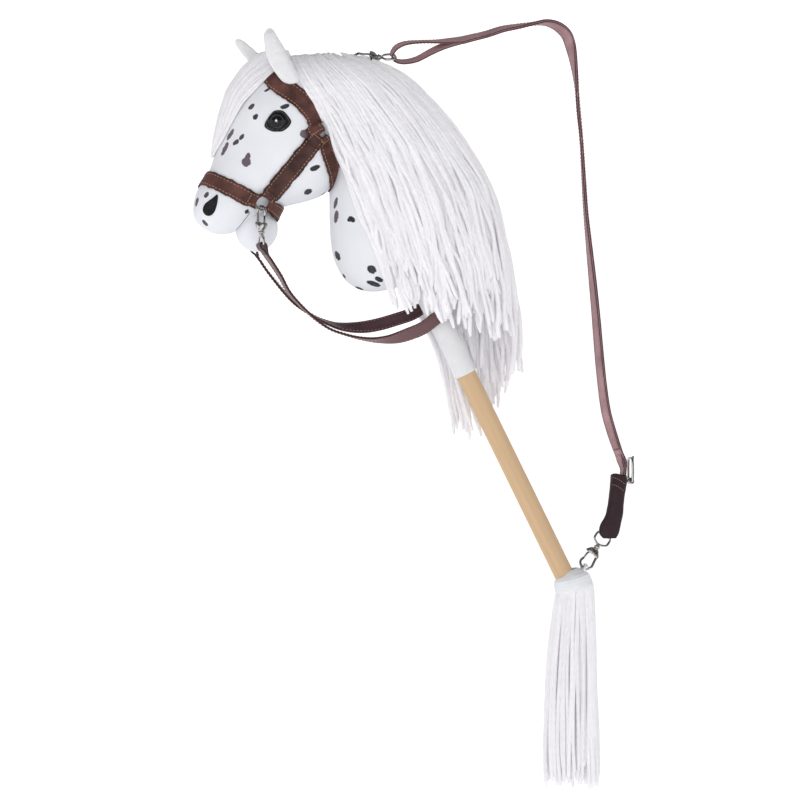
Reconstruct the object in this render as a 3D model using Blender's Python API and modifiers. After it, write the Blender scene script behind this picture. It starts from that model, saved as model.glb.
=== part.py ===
"""Hobby horse: a stuffed horse's head on a wooden stick, with a halter, a rein and a carrying strap.

The horse looks along -X, +Z is up and the plane Y = 0 is the horse's own plane of symmetry.
Its left side is at -Y. The origin is the middle of the bare wood, where a rider holds the stick.
All sizes are in metres; the tables of outlines are in millimetres and go through mm().
"""
import math

import bmesh
import bpy
from mathutils import Matrix, Vector
from mathutils.bvhtree import BVHTree

MM = 0.001
GAP = 0.0003            # between pieces that touch

# Stick, sleeve and tail
STICK_DIAMETER = 0.022
STICK_LEAN = 26.5       # degrees from upright, towards the horse's face
STICK_BELOW = 0.139     # from the origin down to the stick's lower end
STICK_ABOVE = 0.415     # from the origin up to the end inside the neck
SLEEVE_BELOW = 0.125    # where the sleeve's lower edge lies, up the stick
SLEEVE_LENGTH = 0.185
SLEEVE_WALL = 0.0007    # at the lower edge
SLEEVE_WALL_TOP = 0.0018
BAND_DIAMETER = 0.043
BAND_HEIGHT = 0.023
BAND_LEAN = 17.0
TAIL_LENGTH = 0.228
TAIL_DIAMETER = 0.064
LOOP_CORD = 0.003       # the tail's loop

# Stuffed pieces
HEAD_WIDTH = 0.098
NECK_WIDTH = 0.114
JAW_WIDTH = 0.050
MUZZLE_WIDTH = 0.066
EAR_THICKNESS = 0.011
EYE_DIAMETER = 0.0195
EYE_HEIGHT = 0.0062
EYE_SHANK = 0.005
EYE_SHANK_LENGTH = 0.017
WASHER_DIAMETER = 0.018
WASHER_THICKNESS = 0.0016
PATCH_THICKNESS = 0.0012
MANE_THICKNESS = 0.017

# Leather
HALTER_LEATHER = 0.0022
NOSE_WIDTH = 0.018
CHEEK_WIDTH = 0.0155
CHIN_WIDTH = 0.0155
FOLD_LEATHER = 0.0016   # at the folded ends round the rings
REIN_WIDTH = 0.0145
REIN_LEATHER = 0.0022
CARRY_WIDTH = 0.014
CARRY_LEATHER = 0.0038  # two layers
TAB_THICKNESS = 0.0085

# Rings, snaps and buckle
RING_WIRE = 0.003
RING_DIAMETER = 0.020   # outside, lower rings and the ring on the crest
UPPER_RING_WIRE = 0.0022
UPPER_RING_DIAMETER = 0.016
HOOK_WIRE = 0.0028
HOOK_OPENING = 0.0104
HOOK_SLACK = 0.0010     # between the hook's crown and the wire that it holds
HOOK_YAW = 60.0         # degrees between the hook's plane and the wire that it holds
GATE_WIRE = 0.0024
EYE_WIRE = 0.0026
SNAP_EYE_WIDTH = 0.0176 # between wire centres
SNAP_BODY_THICKNESS = 0.0056
BUCKLE_WIDTH = 0.023
BUCKLE_HEIGHT = 0.029
BUCKLE_WIRE = 0.003

LEFT = -1
RIGHT = 1
SIDES = {"left": LEFT, "right": RIGHT}
LEAN = math.radians(STICK_LEAN)
STICK_UP = Vector((-math.sin(LEAN), 0, math.cos(LEAN)))
STICK_FRONT = Vector((-math.cos(LEAN), 0, -math.sin(LEAN)))
UP = Vector((0, 0, 1))
ACROSS = Vector((0, 1, 0))


def mm(x, z, y=0.0):
    """A point given in millimetres in the horse's plane, y out of it."""
    return Vector((x * MM, y * MM, z * MM))


def on_stick(up, front, y=0.0):
    """A point at a height up the stick and a distance in front of its axis, in metres."""
    return STICK_UP * up + STICK_FRONT * front + ACROSS * y


# Scene, collections and materials
for old in list(bpy.data.objects):
    bpy.data.objects.remove(old, do_unlink=True)
PARTS = bpy.data.collections.new("hobby_horse")
CUTTERS = bpy.data.collections.new("cutters")
for collection in (PARTS, CUTTERS):
    bpy.context.scene.collection.children.link(collection)


def material(name, colour, roughness, metallic=0.0):
    made = bpy.data.materials.new(name)
    made.use_nodes = True
    shader = made.node_tree.nodes["Principled BSDF"]
    shader.inputs["Base Color"].default_value = (*colour, 1.0)
    shader.inputs["Roughness"].default_value = roughness
    shader.inputs["Metallic"].default_value = metallic
    made.diffuse_color = (*colour, 1.0)
    return made


PLUSH = material("white_plush", (0.86, 0.86, 0.88), 0.9)
FLEECE = material("white_fleece", (0.88, 0.88, 0.89), 0.95)
YARN = material("white_yarn", (0.84, 0.84, 0.86), 0.9)
BLACK_LEATHER = material("black_leather", (0.012, 0.013, 0.015), 0.45)
GLOSS_BLACK = material("gloss_black", (0.006, 0.006, 0.008), 0.08)
WHITE_PLASTIC = material("white_plastic", (0.8, 0.8, 0.8), 0.5)
WOOD = material("beech_wood", (0.62, 0.41, 0.22), 0.5)
SLEEVE_CLOTH = material("white_cloth", (0.82, 0.83, 0.82), 0.7)
HALTER = material("red_brown_leather", (0.14, 0.045, 0.03), 0.8)
REIN = material("brown_leather", (0.07, 0.03, 0.032), 0.7)
STEEL = material("nickel_steel", (0.5, 0.5, 0.5), 0.28, 1.0)


# Making and joining meshes
def add(name, mesh, paint=None, collection=PARTS):
    made = bpy.data.objects.new(name, mesh)
    collection.objects.link(made)
    if paint is not None:
        mesh.materials.clear()
        mesh.materials.append(paint)
        mesh.shade_smooth()
        mesh.set_sharp_from_angle(angle=math.radians(40))
    if collection is CUTTERS:
        made.hide_render = True
        made.display_type = "WIRE"
    return made


def mesh_from(bm, name):
    bmesh.ops.recalc_face_normals(bm, faces=bm.faces)
    mesh = bpy.data.meshes.new(name)
    bm.to_mesh(mesh)
    bm.free()
    return mesh


def loft(name, rings):
    """A closed mesh through rings of equally many points, with a flat face at each end."""
    bm = bmesh.new()
    rows = [[bm.verts.new(point) for point in ring] for ring in rings]
    count = len(rows[0])
    for row, following in zip(rows, rows[1:]):
        for i in range(count):
            j = (i + 1) % count
            bm.faces.new((row[i], row[j], following[j], following[i]))
    bm.faces.new(rows[0])
    bm.faces.new(rows[-1])
    return mesh_from(bm, name)


def evaluated_mesh(source, name):
    graph = bpy.context.evaluated_depsgraph_get()
    return bpy.data.meshes.new_from_object(source.evaluated_get(graph), depsgraph=graph)


def smoothed(cage, name, levels=1):
    """The mesh that Subdivision Surface makes of a coarse cage."""
    source = bpy.data.objects.new(name, cage)
    CUTTERS.objects.link(source)
    smooth = source.modifiers.new("smooth", "SUBSURF")
    smooth.levels = levels
    smooth.render_levels = levels
    mesh = evaluated_mesh(source, name)
    bpy.data.objects.remove(source, do_unlink=True)
    mesh.name = name
    return mesh


def curve_mesh(name, curve):
    source = bpy.data.objects.new(name, curve)
    CUTTERS.objects.link(source)
    mesh = evaluated_mesh(source, name)
    bpy.data.objects.remove(source, do_unlink=True)
    bm = bmesh.new()
    bm.from_mesh(mesh)
    bmesh.ops.remove_doubles(bm, verts=bm.verts, dist=0.00001)
    bmesh.ops.recalc_face_normals(bm, faces=bm.faces)
    bm.to_mesh(mesh)
    bm.free()
    mesh.name = name
    return mesh


def tube(name, points, wire, closed=False, sides=1):
    """A wire along points; sides is the curve's bevel_resolution."""
    curve = bpy.data.curves.new(name, "CURVE")
    curve.dimensions = "3D"
    curve.bevel_depth = wire / 2
    curve.bevel_resolution = sides
    curve.use_fill_caps = not closed
    spline = curve.splines.new("POLY")
    spline.points.add(len(points) - 1)
    for slot, point in zip(spline.points, points):
        slot.co = (*point, 1.0)
    spline.use_cyclic_u = closed
    return curve_mesh(name, curve)


def plate(name, outline, thickness, place=None):
    """A flat outline of (x, y) pairs in metres, thickness thick along z, moved by place."""
    curve = bpy.data.curves.new(name, "CURVE")
    curve.dimensions = "2D"
    curve.fill_mode = "BOTH"
    curve.extrude = thickness / 2
    spline = curve.splines.new("POLY")
    spline.points.add(len(outline) - 1)
    for slot, (x, y) in zip(spline.points, outline):
        slot.co = (x, y, 0.0, 1.0)
    spline.use_cyclic_u = True
    mesh = curve_mesh(name, curve)
    if place is not None:
        mesh.transform(place)
        if place.to_3x3().determinant() < 0:
            mesh.flip_normals()
    return mesh


def frame_at(origin, x_axis, z_axis):
    """A matrix with its x and z axes along two directions; y completes a right hand."""
    z = z_axis.normalized()
    x = (x_axis - z * x_axis.dot(z)).normalized()
    y = z.cross(x)
    turn = Matrix((x, y, z)).transposed().to_4x4()
    return Matrix.Translation(origin) @ turn


# A side plate's x is world X, its y is world Z and its thickness lies along Y
SIDE_VIEW = frame_at(Vector((0, 0, 0)), Vector((1, 0, 0)), Vector((0, -1, 0)))


def side_plate(name, outline, y_from, y_to):
    """An outline in millimetres in the horse's plane, cut through from one y to another in metres."""
    middle = Matrix.Translation((0, (y_from + y_to) / 2, 0))
    flat = [(x * MM, z * MM) for x, z in outline]
    return plate(name, flat, abs(y_to - y_from), middle @ SIDE_VIEW)


def turned(name, profile, place, steps=24):
    """A profile of (radius, height) pairs, from the axis down its outer side to the axis, turned."""
    mesh = bpy.data.meshes.new(name)
    points = [(radius, 0, height) for radius, height in profile]
    edges = [(i, i + 1) for i in range(len(points) - 1)]
    if profile[0][0] > 0:
        edges.append((len(points) - 1, 0))
    mesh.from_pydata(points, edges, [])
    source = bpy.data.objects.new(name, mesh)
    CUTTERS.objects.link(source)
    screw = source.modifiers.new("turn", "SCREW")
    screw.steps = steps
    screw.render_steps = steps
    screw.use_merge_vertices = True
    screw.merge_threshold = 0.00001
    result = evaluated_mesh(source, name)
    bpy.data.objects.remove(source, do_unlink=True)
    bm = bmesh.new()
    bm.from_mesh(result)
    bmesh.ops.remove_doubles(bm, verts=bm.verts, dist=0.00001)
    bmesh.ops.recalc_face_normals(bm, faces=bm.faces)
    bm.to_mesh(result)
    bm.free()
    result.transform(place)
    result.name = name
    return result


def torus(name, centre, normal, middle_radius, wire, steps=24, sides=1):
    """A ring of wire round an axis."""
    place = frame_at(centre, Vector((0.31, 0.17, 0.93)), normal)
    points = []
    for i in range(steps):
        turn = 2 * math.pi * i / steps
        points.append(place @ Vector((middle_radius * math.cos(turn), middle_radius * math.sin(turn), 0)))
    return tube(name, points, wire, closed=True, sides=sides)


def rod(name, start, end, radius, steps=12):
    """A round bar between two points."""
    along = end - start
    side = Vector((0.31, 0.17, 0.93)) if abs(along.normalized().dot(UP)) < 0.9 else Vector((1, 0, 0))
    place = frame_at(start, side, along)
    return turned(name, [(0, along.length), (radius, along.length), (radius, 0), (0, 0)], place, steps)


def block(name, place, low, high):
    """A box between two corners in a frame's own axes."""
    bm = bmesh.new()
    bmesh.ops.create_cube(bm, size=1.0)
    for vertex in bm.verts:
        for axis in range(3):
            vertex.co[axis] = low[axis] if vertex.co[axis] < 0 else high[axis]
    mesh = mesh_from(bm, name)
    mesh.transform(place)
    return mesh


def strap(name, stations):
    """A flat strap through stations of (middle, width direction, width, leather thickness)."""
    middles = [station[0] for station in stations]
    rings = []
    for i, (middle, across, width, leather) in enumerate(stations):
        along = middles[min(i + 1, len(middles) - 1)] - middles[max(i - 1, 0)]
        flat = along.cross(across).normalized() * (leather / 2)
        wide = flat.cross(along).normalized() * (width / 2)
        rings.append([middle + wide + flat, middle - wide + flat, middle - wide - flat, middle + wide - flat])
    return loft(name, rings)


def smooth_path(points, count):
    """Evenly many points on a smooth curve through the given ones (Catmull-Rom)."""
    made = []
    spans = len(points) - 1
    for i in range(count):
        at = i * spans / (count - 1)
        k = min(int(at), spans - 1)
        t = at - k
        a = points[max(k - 1, 0)]
        b = points[k]
        c = points[k + 1]
        d = points[min(k + 2, spans)]
        made.append(0.5 * (2 * b + (c - a) * t + (2 * a - 5 * b + 4 * c - d) * t * t
                           + (3 * b - a - 3 * c + d) * t * t * t))
    return made


def cutter(mesh):
    return add(mesh.name, mesh, collection=CUTTERS)


def combine(target, other, operation, solver="EXACT"):
    """One Boolean on a part, with another mesh or object; MANIFOLD is for where EXACT fails."""
    tool = other if isinstance(other, bpy.types.Object) else cutter(other)
    change = target.modifiers.new(operation.lower(), "BOOLEAN")
    change.operation = operation
    change.solver = solver
    change.object = tool


def set_origin(part, point):
    """Puts a moving part's origin on its joint's axis; the part stays where it is."""
    part.data.transform(Matrix.Translation(-point))
    part.location = point


def grown(mesh, amount, name):
    """A copy of a mesh with every point moved out along its normal."""
    copy = mesh.copy()
    bm = bmesh.new()
    bm.from_mesh(copy)
    bm.normal_update()
    moves = [vertex.normal * amount for vertex in bm.verts]
    for vertex, move in zip(bm.verts, moves):
        vertex.co += move
    bm.to_mesh(copy)
    bm.free()
    copy.name = name
    return copy


# Stuffed forms: rings of a coarse cage, which Subdivision Surface draws in by CAGE_SWELL
RING_POINTS = 12
CAGE_SWELL = 1.04
FULLNESS = 0.88         # below 1 the sides are fuller than an oval's

# Head rings from the muzzle to the poll: top (x, z), bottom (x, z), part of the full width
HEAD_RINGS = [
    ((-360, 303), (-361, 287), 0.10), ((-356, 315), (-357, 278), 0.26), ((-349, 325), (-346, 268), 0.34),
    ((-341, 338), (-326, 262), 0.37), ((-335, 358), (-302, 274), 0.39), ((-328, 382), (-277, 292), 0.42),
    ((-318, 405), (-252, 299), 0.45), ((-303, 427), (-228, 304), 0.49), ((-283, 446), (-207, 317), 0.50),
    ((-258, 457), (-195, 341), 0.48), ((-233, 458), (-190, 370), 0.42), ((-211, 448), (-189, 398), 0.29),
    ((-201, 436), (-191, 416), 0.12),
]
# Neck rings from the top down, in the stick's own measures: front (up, forward), back (up, forward)
NECK_RINGS = [
    ((477, 18), (483, -16), 0.16), ((470, 29), (484, -35), 0.30), ((441, 28), (447, -65), 0.39),
    ((401, 33), (396, -86), 0.44), ((366, 50), (348, -93), 0.475), ((332, 69), (301, -88), 0.50),
    ((302, 78), (264, -77), 0.49), ((276, 76), (241, -61), 0.44), ((256, 61), (232, -40), 0.33),
    ((248, 38), (236, -18), 0.16),
]


def full(value):
    """A sine or cosine drawn towards 1, for a ring fuller than an oval."""
    return math.copysign(abs(value) ** FULLNESS, value)


def oval_ring(top, bottom, half_width):
    """Points round an oval whose height runs from bottom to top and whose width is along Y."""
    middle = (top + bottom) / 2
    half_height = (top - bottom) / 2
    points = []
    for i in range(RING_POINTS):
        turn = math.pi / 2 - 2 * math.pi * i / RING_POINTS
        high = half_height * (full(math.sin(turn)) * CAGE_SWELL)
        wide = ACROSS * (half_width * full(math.cos(turn)) * CAGE_SWELL)
        points.append(middle + high + wide)
    return points


head_cage = loft("head_cage", [oval_ring(mm(*top), mm(*bottom), HEAD_WIDTH * part)
                               for top, bottom, part in HEAD_RINGS])
HEAD_FORM = smoothed(head_cage, "head_form")
neck_cage = loft("neck_cage", [oval_ring(on_stick(top[0] * MM, top[1] * MM),
                                         on_stick(bottom[0] * MM, bottom[1] * MM), NECK_WIDTH * part)
                               for top, bottom, part in NECK_RINGS])
NECK_FORM = smoothed(neck_cage, "neck_form")

JAW_MIDDLE = mm(-291, 271)
JAW_LENGTH = 0.047
JAW_DEPTH = 0.050


def jaw_form():
    bm = bmesh.new()
    bmesh.ops.create_uvsphere(bm, u_segments=16, v_segments=10, radius=0.5)
    size = Matrix.Diagonal((JAW_LENGTH, JAW_WIDTH, JAW_DEPTH, 1.0))
    bmesh.ops.transform(bm, matrix=Matrix.Translation(JAW_MIDDLE) @ size, verts=bm.verts)
    return mesh_from(bm, "jaw_form")


JAW_FORM = jaw_form()
HEAD_TREE = BVHTree.FromPolygons([v.co for v in HEAD_FORM.vertices],
                                 [tuple(p.vertices) for p in HEAD_FORM.polygons])


def on_head(x, z, side):
    """The point of the head's skin at (x, z) millimetres on one side, and the way out of it."""
    start = mm(x, z, side * 200)
    hit, normal, _, _ = HEAD_TREE.ray_cast(start, Vector((0, -side, 0)))
    if normal.y * side < 0:
        normal = -normal
    return hit, normal


# Each touching piece is cut by the skin of its neighbour, grown by the gap
head_skin = cutter(grown(HEAD_FORM, GAP, "head_skin"))
neck_skin = cutter(grown(NECK_FORM, GAP, "neck_skin"))
jaw_skin = cutter(grown(JAW_FORM, GAP, "jaw_skin"))


def leather_skin(name, thickness, *forms):
    """The outer face of leather laid on one or more forms, as a cutter to intersect with."""
    made = cutter(grown(forms[0], GAP + thickness, name))
    for i, form in enumerate(forms[1:]):
        combine(made, grown(form, GAP + thickness, f"{name}_{i}"), "UNION")
    return made


def room_round(part, amount=GAP):
    """A cutter that keeps the gap round a finished part."""
    return cutter(grown(evaluated_mesh(part, part.name), amount, f"{part.name}_room"))


# Stick, sleeve and their pocket in the neck
STICK_PLACE = frame_at(Vector((0, 0, 0)), -STICK_FRONT, STICK_UP)
STICK_RADIUS = STICK_DIAMETER / 2
STICK_CHAMFER = 0.0012


def stick_profile(radius, low, high, chamfer):
    return [(0, high), (radius - chamfer, high), (radius, high - chamfer),
            (radius, low + chamfer), (radius - chamfer, low), (0, low)]


stick = add("stick", turned("stick", stick_profile(STICK_RADIUS, -STICK_BELOW, STICK_ABOVE, STICK_CHAMFER),
                            STICK_PLACE), WOOD)
SLEEVE_TOP = SLEEVE_BELOW + SLEEVE_LENGTH
SLEEVE_BORE = STICK_RADIUS + GAP
sleeve_profile = [(SLEEVE_BORE + SLEEVE_WALL_TOP, SLEEVE_TOP), (SLEEVE_BORE + SLEEVE_WALL, SLEEVE_BELOW),
                  (SLEEVE_BORE, SLEEVE_BELOW), (SLEEVE_BORE, SLEEVE_TOP)]
neck_sleeve = add("neck_sleeve", turned("neck_sleeve", sleeve_profile, STICK_PLACE), SLEEVE_CLOTH)

neck = add("neck", NECK_FORM.copy(), PLUSH)
pocket_radius = SLEEVE_BORE + SLEEVE_WALL_TOP + GAP
pocket = turned("pocket", [(0, STICK_ABOVE + GAP), (SLEEVE_BORE, STICK_ABOVE + GAP),
                           (SLEEVE_BORE, SLEEVE_TOP + GAP), (pocket_radius, SLEEVE_TOP + GAP),
                           (pocket_radius, SLEEVE_BELOW), (0, SLEEVE_BELOW)], STICK_PLACE)
combine(neck, pocket, "DIFFERENCE")

# Head, lower jaw, ears
head = add("head", HEAD_FORM.copy(), PLUSH)
combine(head, neck_skin, "DIFFERENCE")
lower_jaw = add("lower_jaw", JAW_FORM.copy(), PLUSH)
combine(lower_jaw, head_skin, "DIFFERENCE")

# An ear from base to tip in its own measures: height, width, thickness share
EAR_ROWS = [(-6, 16, 0.9), (0, 22, 1.0), (9, 24, 1.0), (19, 22, 0.85), (29, 17, 0.7), (38, 11, 0.5),
            (43, 5, 0.3)]
EAR_BASE = {"left": mm(-264, 449, -25), "right": mm(-271, 450, 25)}
EAR_TIP = {"left": mm(-280.5, 489, -31), "right": mm(-308, 482, 31)}
EAR_OUT = {"left": Vector((-0.45, -0.9, 0.1)), "right": Vector((-0.6, 0.75, 0.3))}
for side_name, side in SIDES.items():
    rise = EAR_TIP[side_name] - EAR_BASE[side_name]
    stretch = rise.length / (43 * MM)
    place = frame_at(EAR_BASE[side_name], EAR_OUT[side_name], rise)
    rings = []
    for height, width, share in EAR_ROWS:
        deep = EAR_THICKNESS * share / 2 * CAGE_SWELL
        wide = width * MM / 2 * CAGE_SWELL
        ring = []
        for i in range(8):
            turn = i * math.pi / 4
            hollow = 0.35 * deep * (1 - abs(math.sin(turn))) if math.cos(turn) > 0 else 0
            ring.append(place @ Vector((deep * math.cos(turn) - 2 * hollow, wide * math.sin(turn),
                                        height * MM * stretch)))
        rings.append(ring)
    ear = add(f"ear_{side_name}", smoothed(loft("ear_cage", rings), "ear_form"), FLEECE)
    combine(ear, head_skin, "DIFFERENCE")

# Eyes on their almond patches, with the washers inside the head; nostril patches
EYE_PLACE = (-273, 386)
PATCH_OUTLINE = [(-17.5, -3), (-13, 4.5), (-6, 10), (3, 12), (9, 9), (14, 3.5), (17.5, -2.5), (12, -8),
                 (5, -11.5), (-4, -12), (-12, -8.5)]
NOSTRIL_OUTLINE = [(8, 13.5), (8.3, 5), (7, -4), (3.5, -9.5), (-1.5, -11), (-6, -8.5), (-8, -3.5),
                   (-5.5, 2.5),
                   (-1, 6), (4, 10)]
NOSTRIL_PLACE = (-345.5, 293.5)
patch_skin = leather_skin("patch_skin", PATCH_THICKNESS, HEAD_FORM)
EYE_RADIUS = EYE_DIAMETER / 2
SHANK_RADIUS = EYE_SHANK / 2
EYE_SEAT = GAP + PATCH_THICKNESS + GAP
WASHER_DEPTH = 0.0095
for side_name, side in SIDES.items():
    hit, out = on_head(*EYE_PLACE, side)
    place = frame_at(hit, UP, out)
    outline = [(EYE_PLACE[0] + x, EYE_PLACE[1] + z) for x, z in PATCH_OUTLINE]
    patch = add(f"eye_patch_{side_name}", side_plate("patch", outline, side * 0.025, side * 0.075),
                BLACK_LEATHER)
    combine(patch, patch_skin, "INTERSECT")
    combine(patch, head_skin, "DIFFERENCE")
    bore = SHANK_RADIUS + GAP
    room = WASHER_DIAMETER / 2 + GAP
    room_top = GAP - WASHER_DEPTH
    room_floor = -WASHER_DEPTH - WASHER_THICKNESS - GAP
    shank_room = [(0, EYE_HEIGHT), (bore, EYE_HEIGHT), (bore, room_top), (room, room_top), (room, room_floor),
                  (bore, room_floor), (bore, -EYE_SHANK_LENGTH - GAP), (0, -EYE_SHANK_LENGTH - GAP)]
    combine(head, turned("shank_room", shank_room, place, 16), "DIFFERENCE")
    combine(patch, rod("patch_hole", hit - out * EYE_HEIGHT, hit + out * EYE_HEIGHT, bore, 12), "DIFFERENCE")
    dome = [(0, EYE_HEIGHT), (EYE_RADIUS * 0.5, EYE_HEIGHT * 0.88), (EYE_RADIUS * 0.84, EYE_HEIGHT * 0.58),
            (EYE_RADIUS, EYE_SEAT + 0.0008), (EYE_RADIUS, EYE_SEAT), (SHANK_RADIUS, EYE_SEAT),
            (SHANK_RADIUS, -EYE_SHANK_LENGTH), (0, -EYE_SHANK_LENGTH)]
    add(f"eye_{side_name}", turned("eye", dome, place, 20), GLOSS_BLACK)
    washer = [(WASHER_DIAMETER / 2, -WASHER_DEPTH), (WASHER_DIAMETER / 2, -WASHER_DEPTH - WASHER_THICKNESS),
              (bore, -WASHER_DEPTH - WASHER_THICKNESS), (bore, -WASHER_DEPTH)]
    add(f"eye_washer_{side_name}", turned("eye_washer", washer, place, 16), WHITE_PLASTIC)
    outline = [(NOSTRIL_PLACE[0] + x, NOSTRIL_PLACE[1] + z) for x, z in NOSTRIL_OUTLINE]
    nostril = add(f"nostril_{side_name}", side_plate("nostril", outline, side * 0.004, side * 0.05),
                  BLACK_LEATHER)
    combine(nostril, patch_skin, "INTERSECT")
    combine(nostril, head_skin, "DIFFERENCE")

# Halter: rings first, because the straps fold round them
LOWER_RING_AT = (-289, 298)
UPPER_RING_AT = (-230, 371)
FOLD_HALF = RING_WIRE / 2 + GAP + FOLD_LEATHER
LOWER_RING_MIDDLE = (RING_DIAMETER - RING_WIRE) / 2
UPPER_RING_MIDDLE = (UPPER_RING_DIAMETER - UPPER_RING_WIRE) / 2
RING_SPREAD = 0.006
FOLD_BED = 0.006        # how far a fold is drawn into the head before the skin cuts it


def ring_place(at, side):
    """The middle of a ring that lies on the cheek, clear of the skin round it."""
    widest = 0.0
    for x, z in ((0, 0), (RING_SPREAD, 0), (-RING_SPREAD, 0), (0, RING_SPREAD)):
        hit, _ = on_head(at[0] + x / MM, at[1] + z / MM, side)
        widest = max(widest, abs(hit.y))
    return mm(at[0], at[1]) + ACROSS * (side * (widest + GAP + FOLD_HALF))


ring_room = {}
lower_ring = {}
upper_ring = {}
for side_name, side in SIDES.items():
    lower_ring[side_name] = ring_place(LOWER_RING_AT, side)
    upper_ring[side_name] = ring_place(UPPER_RING_AT, side)
    for kind, middle, radius, wire in (("lower", lower_ring[side_name], LOWER_RING_MIDDLE, RING_WIRE),
                                       ("upper", upper_ring[side_name], UPPER_RING_MIDDLE, UPPER_RING_WIRE)):
        name = f"{kind}_ring_{side_name}"
        ring = add(name, torus(name, middle, ACROSS, radius, wire, 20), STEEL)
        set_origin(ring, middle)
        ring_room[name] = cutter(torus(f"{name}_room", middle, ACROSS, radius, wire + 2 * GAP, 20))


def fold(middle, towards, ring_radius, wire, width, reach):
    """The folded end of a strap round a ring: a block from inside the ring outwards, down to the skin."""
    outwards = ACROSS if middle.y > 0 else -ACROSS
    place = frame_at(middle, Vector((towards[0], 0, towards[1])), outwards)
    inner = ring_radius - wire / 2 - GAP - FOLD_LEATHER
    return block("fold", place, (inner, -width / 2, -FOLD_HALF - FOLD_BED), (reach, width / 2, FOLD_HALF))


def halter_strap(name, outline, skin, folds, rooms, y_from, y_to, under=(head_skin,)):
    """A strap cut from a layer of leather over the head, with its ends folded round rings."""
    made = add(name, side_plate(name, outline, y_from, y_to), HALTER)
    combine(made, skin, "INTERSECT", "MANIFOLD")
    for mesh in folds:
        combine(made, mesh, "UNION")
    for form in (*under, *rooms):
        combine(made, form, "DIFFERENCE")
    return made


head_leather = leather_skin("head_leather", HALTER_LEATHER, HEAD_FORM)
throat_leather = leather_skin("throat_leather", HALTER_LEATHER, HEAD_FORM, NECK_FORM)
FOLD_WIDTH = 0.0095
FOLD_REACH = 0.0125
UPPER_FOLD_WIDTH = 0.0060
UPPER_FOLD_REACH = 0.0105
HALF_ACROSS = 0.09
TUCK = 0.9              # millimetres by which a strap's end is narrower than its fold

# The noseband's outline: the bridge end, then back along its lower edge to the rings
NOSE_AIM = Vector((-57, 30)).normalized()
CHEEK_AIM = Vector((UPPER_RING_AT[0] - LOWER_RING_AT[0], UPPER_RING_AT[1] - LOWER_RING_AT[1])).normalized()
CHIN_AIM = Vector((0.90, -0.43)).normalized()
BROW_AIM = Vector((-0.55, 0.83)).normalized()
THROAT_AIM = Vector((0.77, -0.64)).normalized()


def straight_strap(start, aim, near, far, width, near_width, far_width):
    """A strap's outline along aim, narrowed at both ends for the folds; sizes in millimetres."""
    side = Vector((-aim.y, aim.x))
    taper = 5.0
    rows = [(near, near_width), (near + taper, width), (far - taper, width), (far, far_width)]
    outline = [start + aim * at + side * (half / 2) for at, half in rows]
    outline += [start + aim * at - side * (half / 2) for at, half in reversed(rows)]
    return [tuple(point) for point in outline]


def lower_fold(side_name, aim):
    return fold(lower_ring[side_name], aim, LOWER_RING_MIDDLE, RING_WIRE, FOLD_WIDTH, FOLD_REACH)


def upper_fold(side_name, aim):
    return fold(upper_ring[side_name], aim, UPPER_RING_MIDDLE, UPPER_RING_WIRE, UPPER_FOLD_WIDTH,
                UPPER_FOLD_REACH)


def both(make_fold, aim):
    return [make_fold(side_name, aim) for side_name in SIDES]


lower_at = Vector(LOWER_RING_AT)
upper_at = Vector(UPPER_RING_AT)
ring_length = (upper_at - lower_at).length
nose_outline = straight_strap(lower_at, NOSE_AIM, FOLD_REACH / MM - 4.5, 90, NOSE_WIDTH / MM,
                              FOLD_WIDTH / MM - TUCK, NOSE_WIDTH / MM)
LOWER_ROOMS = [ring_room["lower_ring_left"], ring_room["lower_ring_right"]]
UPPER_ROOMS = [ring_room["upper_ring_left"], ring_room["upper_ring_right"]]
halter_strap("noseband", nose_outline, head_leather, both(lower_fold, NOSE_AIM), LOWER_ROOMS,
             -HALF_ACROSS, HALF_ACROSS)
for side_name, side in SIDES.items():
    cheek_outline = straight_strap(lower_at, CHEEK_AIM, FOLD_REACH / MM - 4.5,
                                   ring_length - UPPER_FOLD_REACH / MM + 3.5, CHEEK_WIDTH / MM,
                                   FOLD_WIDTH / MM - TUCK, UPPER_FOLD_WIDTH / MM - TUCK)
    ends = [lower_fold(side_name, CHEEK_AIM), upper_fold(side_name, -CHEEK_AIM)]
    rooms = [ring_room[f"lower_ring_{side_name}"], ring_room[f"upper_ring_{side_name}"]]
    halter_strap(f"cheek_strap_{side_name}", cheek_outline, head_leather, ends, rooms,
                 side * 0.01, side * HALF_ACROSS)
BROW_OUTLINE = [(-235, 381), (-228, 380), (-230, 395), (-240, 412), (-256, 426), (-270, 438), (-277, 449),
                (-283, 470), (-301, 470), (-293, 443), (-284, 426), (-268, 411), (-254, 396), (-242, 383)]
halter_strap("brow_strap", BROW_OUTLINE, head_leather, both(upper_fold, BROW_AIM), UPPER_ROOMS,
             -HALF_ACROSS, HALF_ACROSS)
THROAT_OUTLINE = [(-221, 369), (-216, 362), (-197, 330), (-188, 312), (-206, 304), (-214, 319), (-226, 349),
                  (-228, 357), (-225, 363)]
halter_strap("throat_strap", THROAT_OUTLINE, throat_leather, both(upper_fold, THROAT_AIM), UPPER_ROOMS,
             -HALF_ACROSS, HALF_ACROSS, (head_skin, neck_skin))

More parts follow.
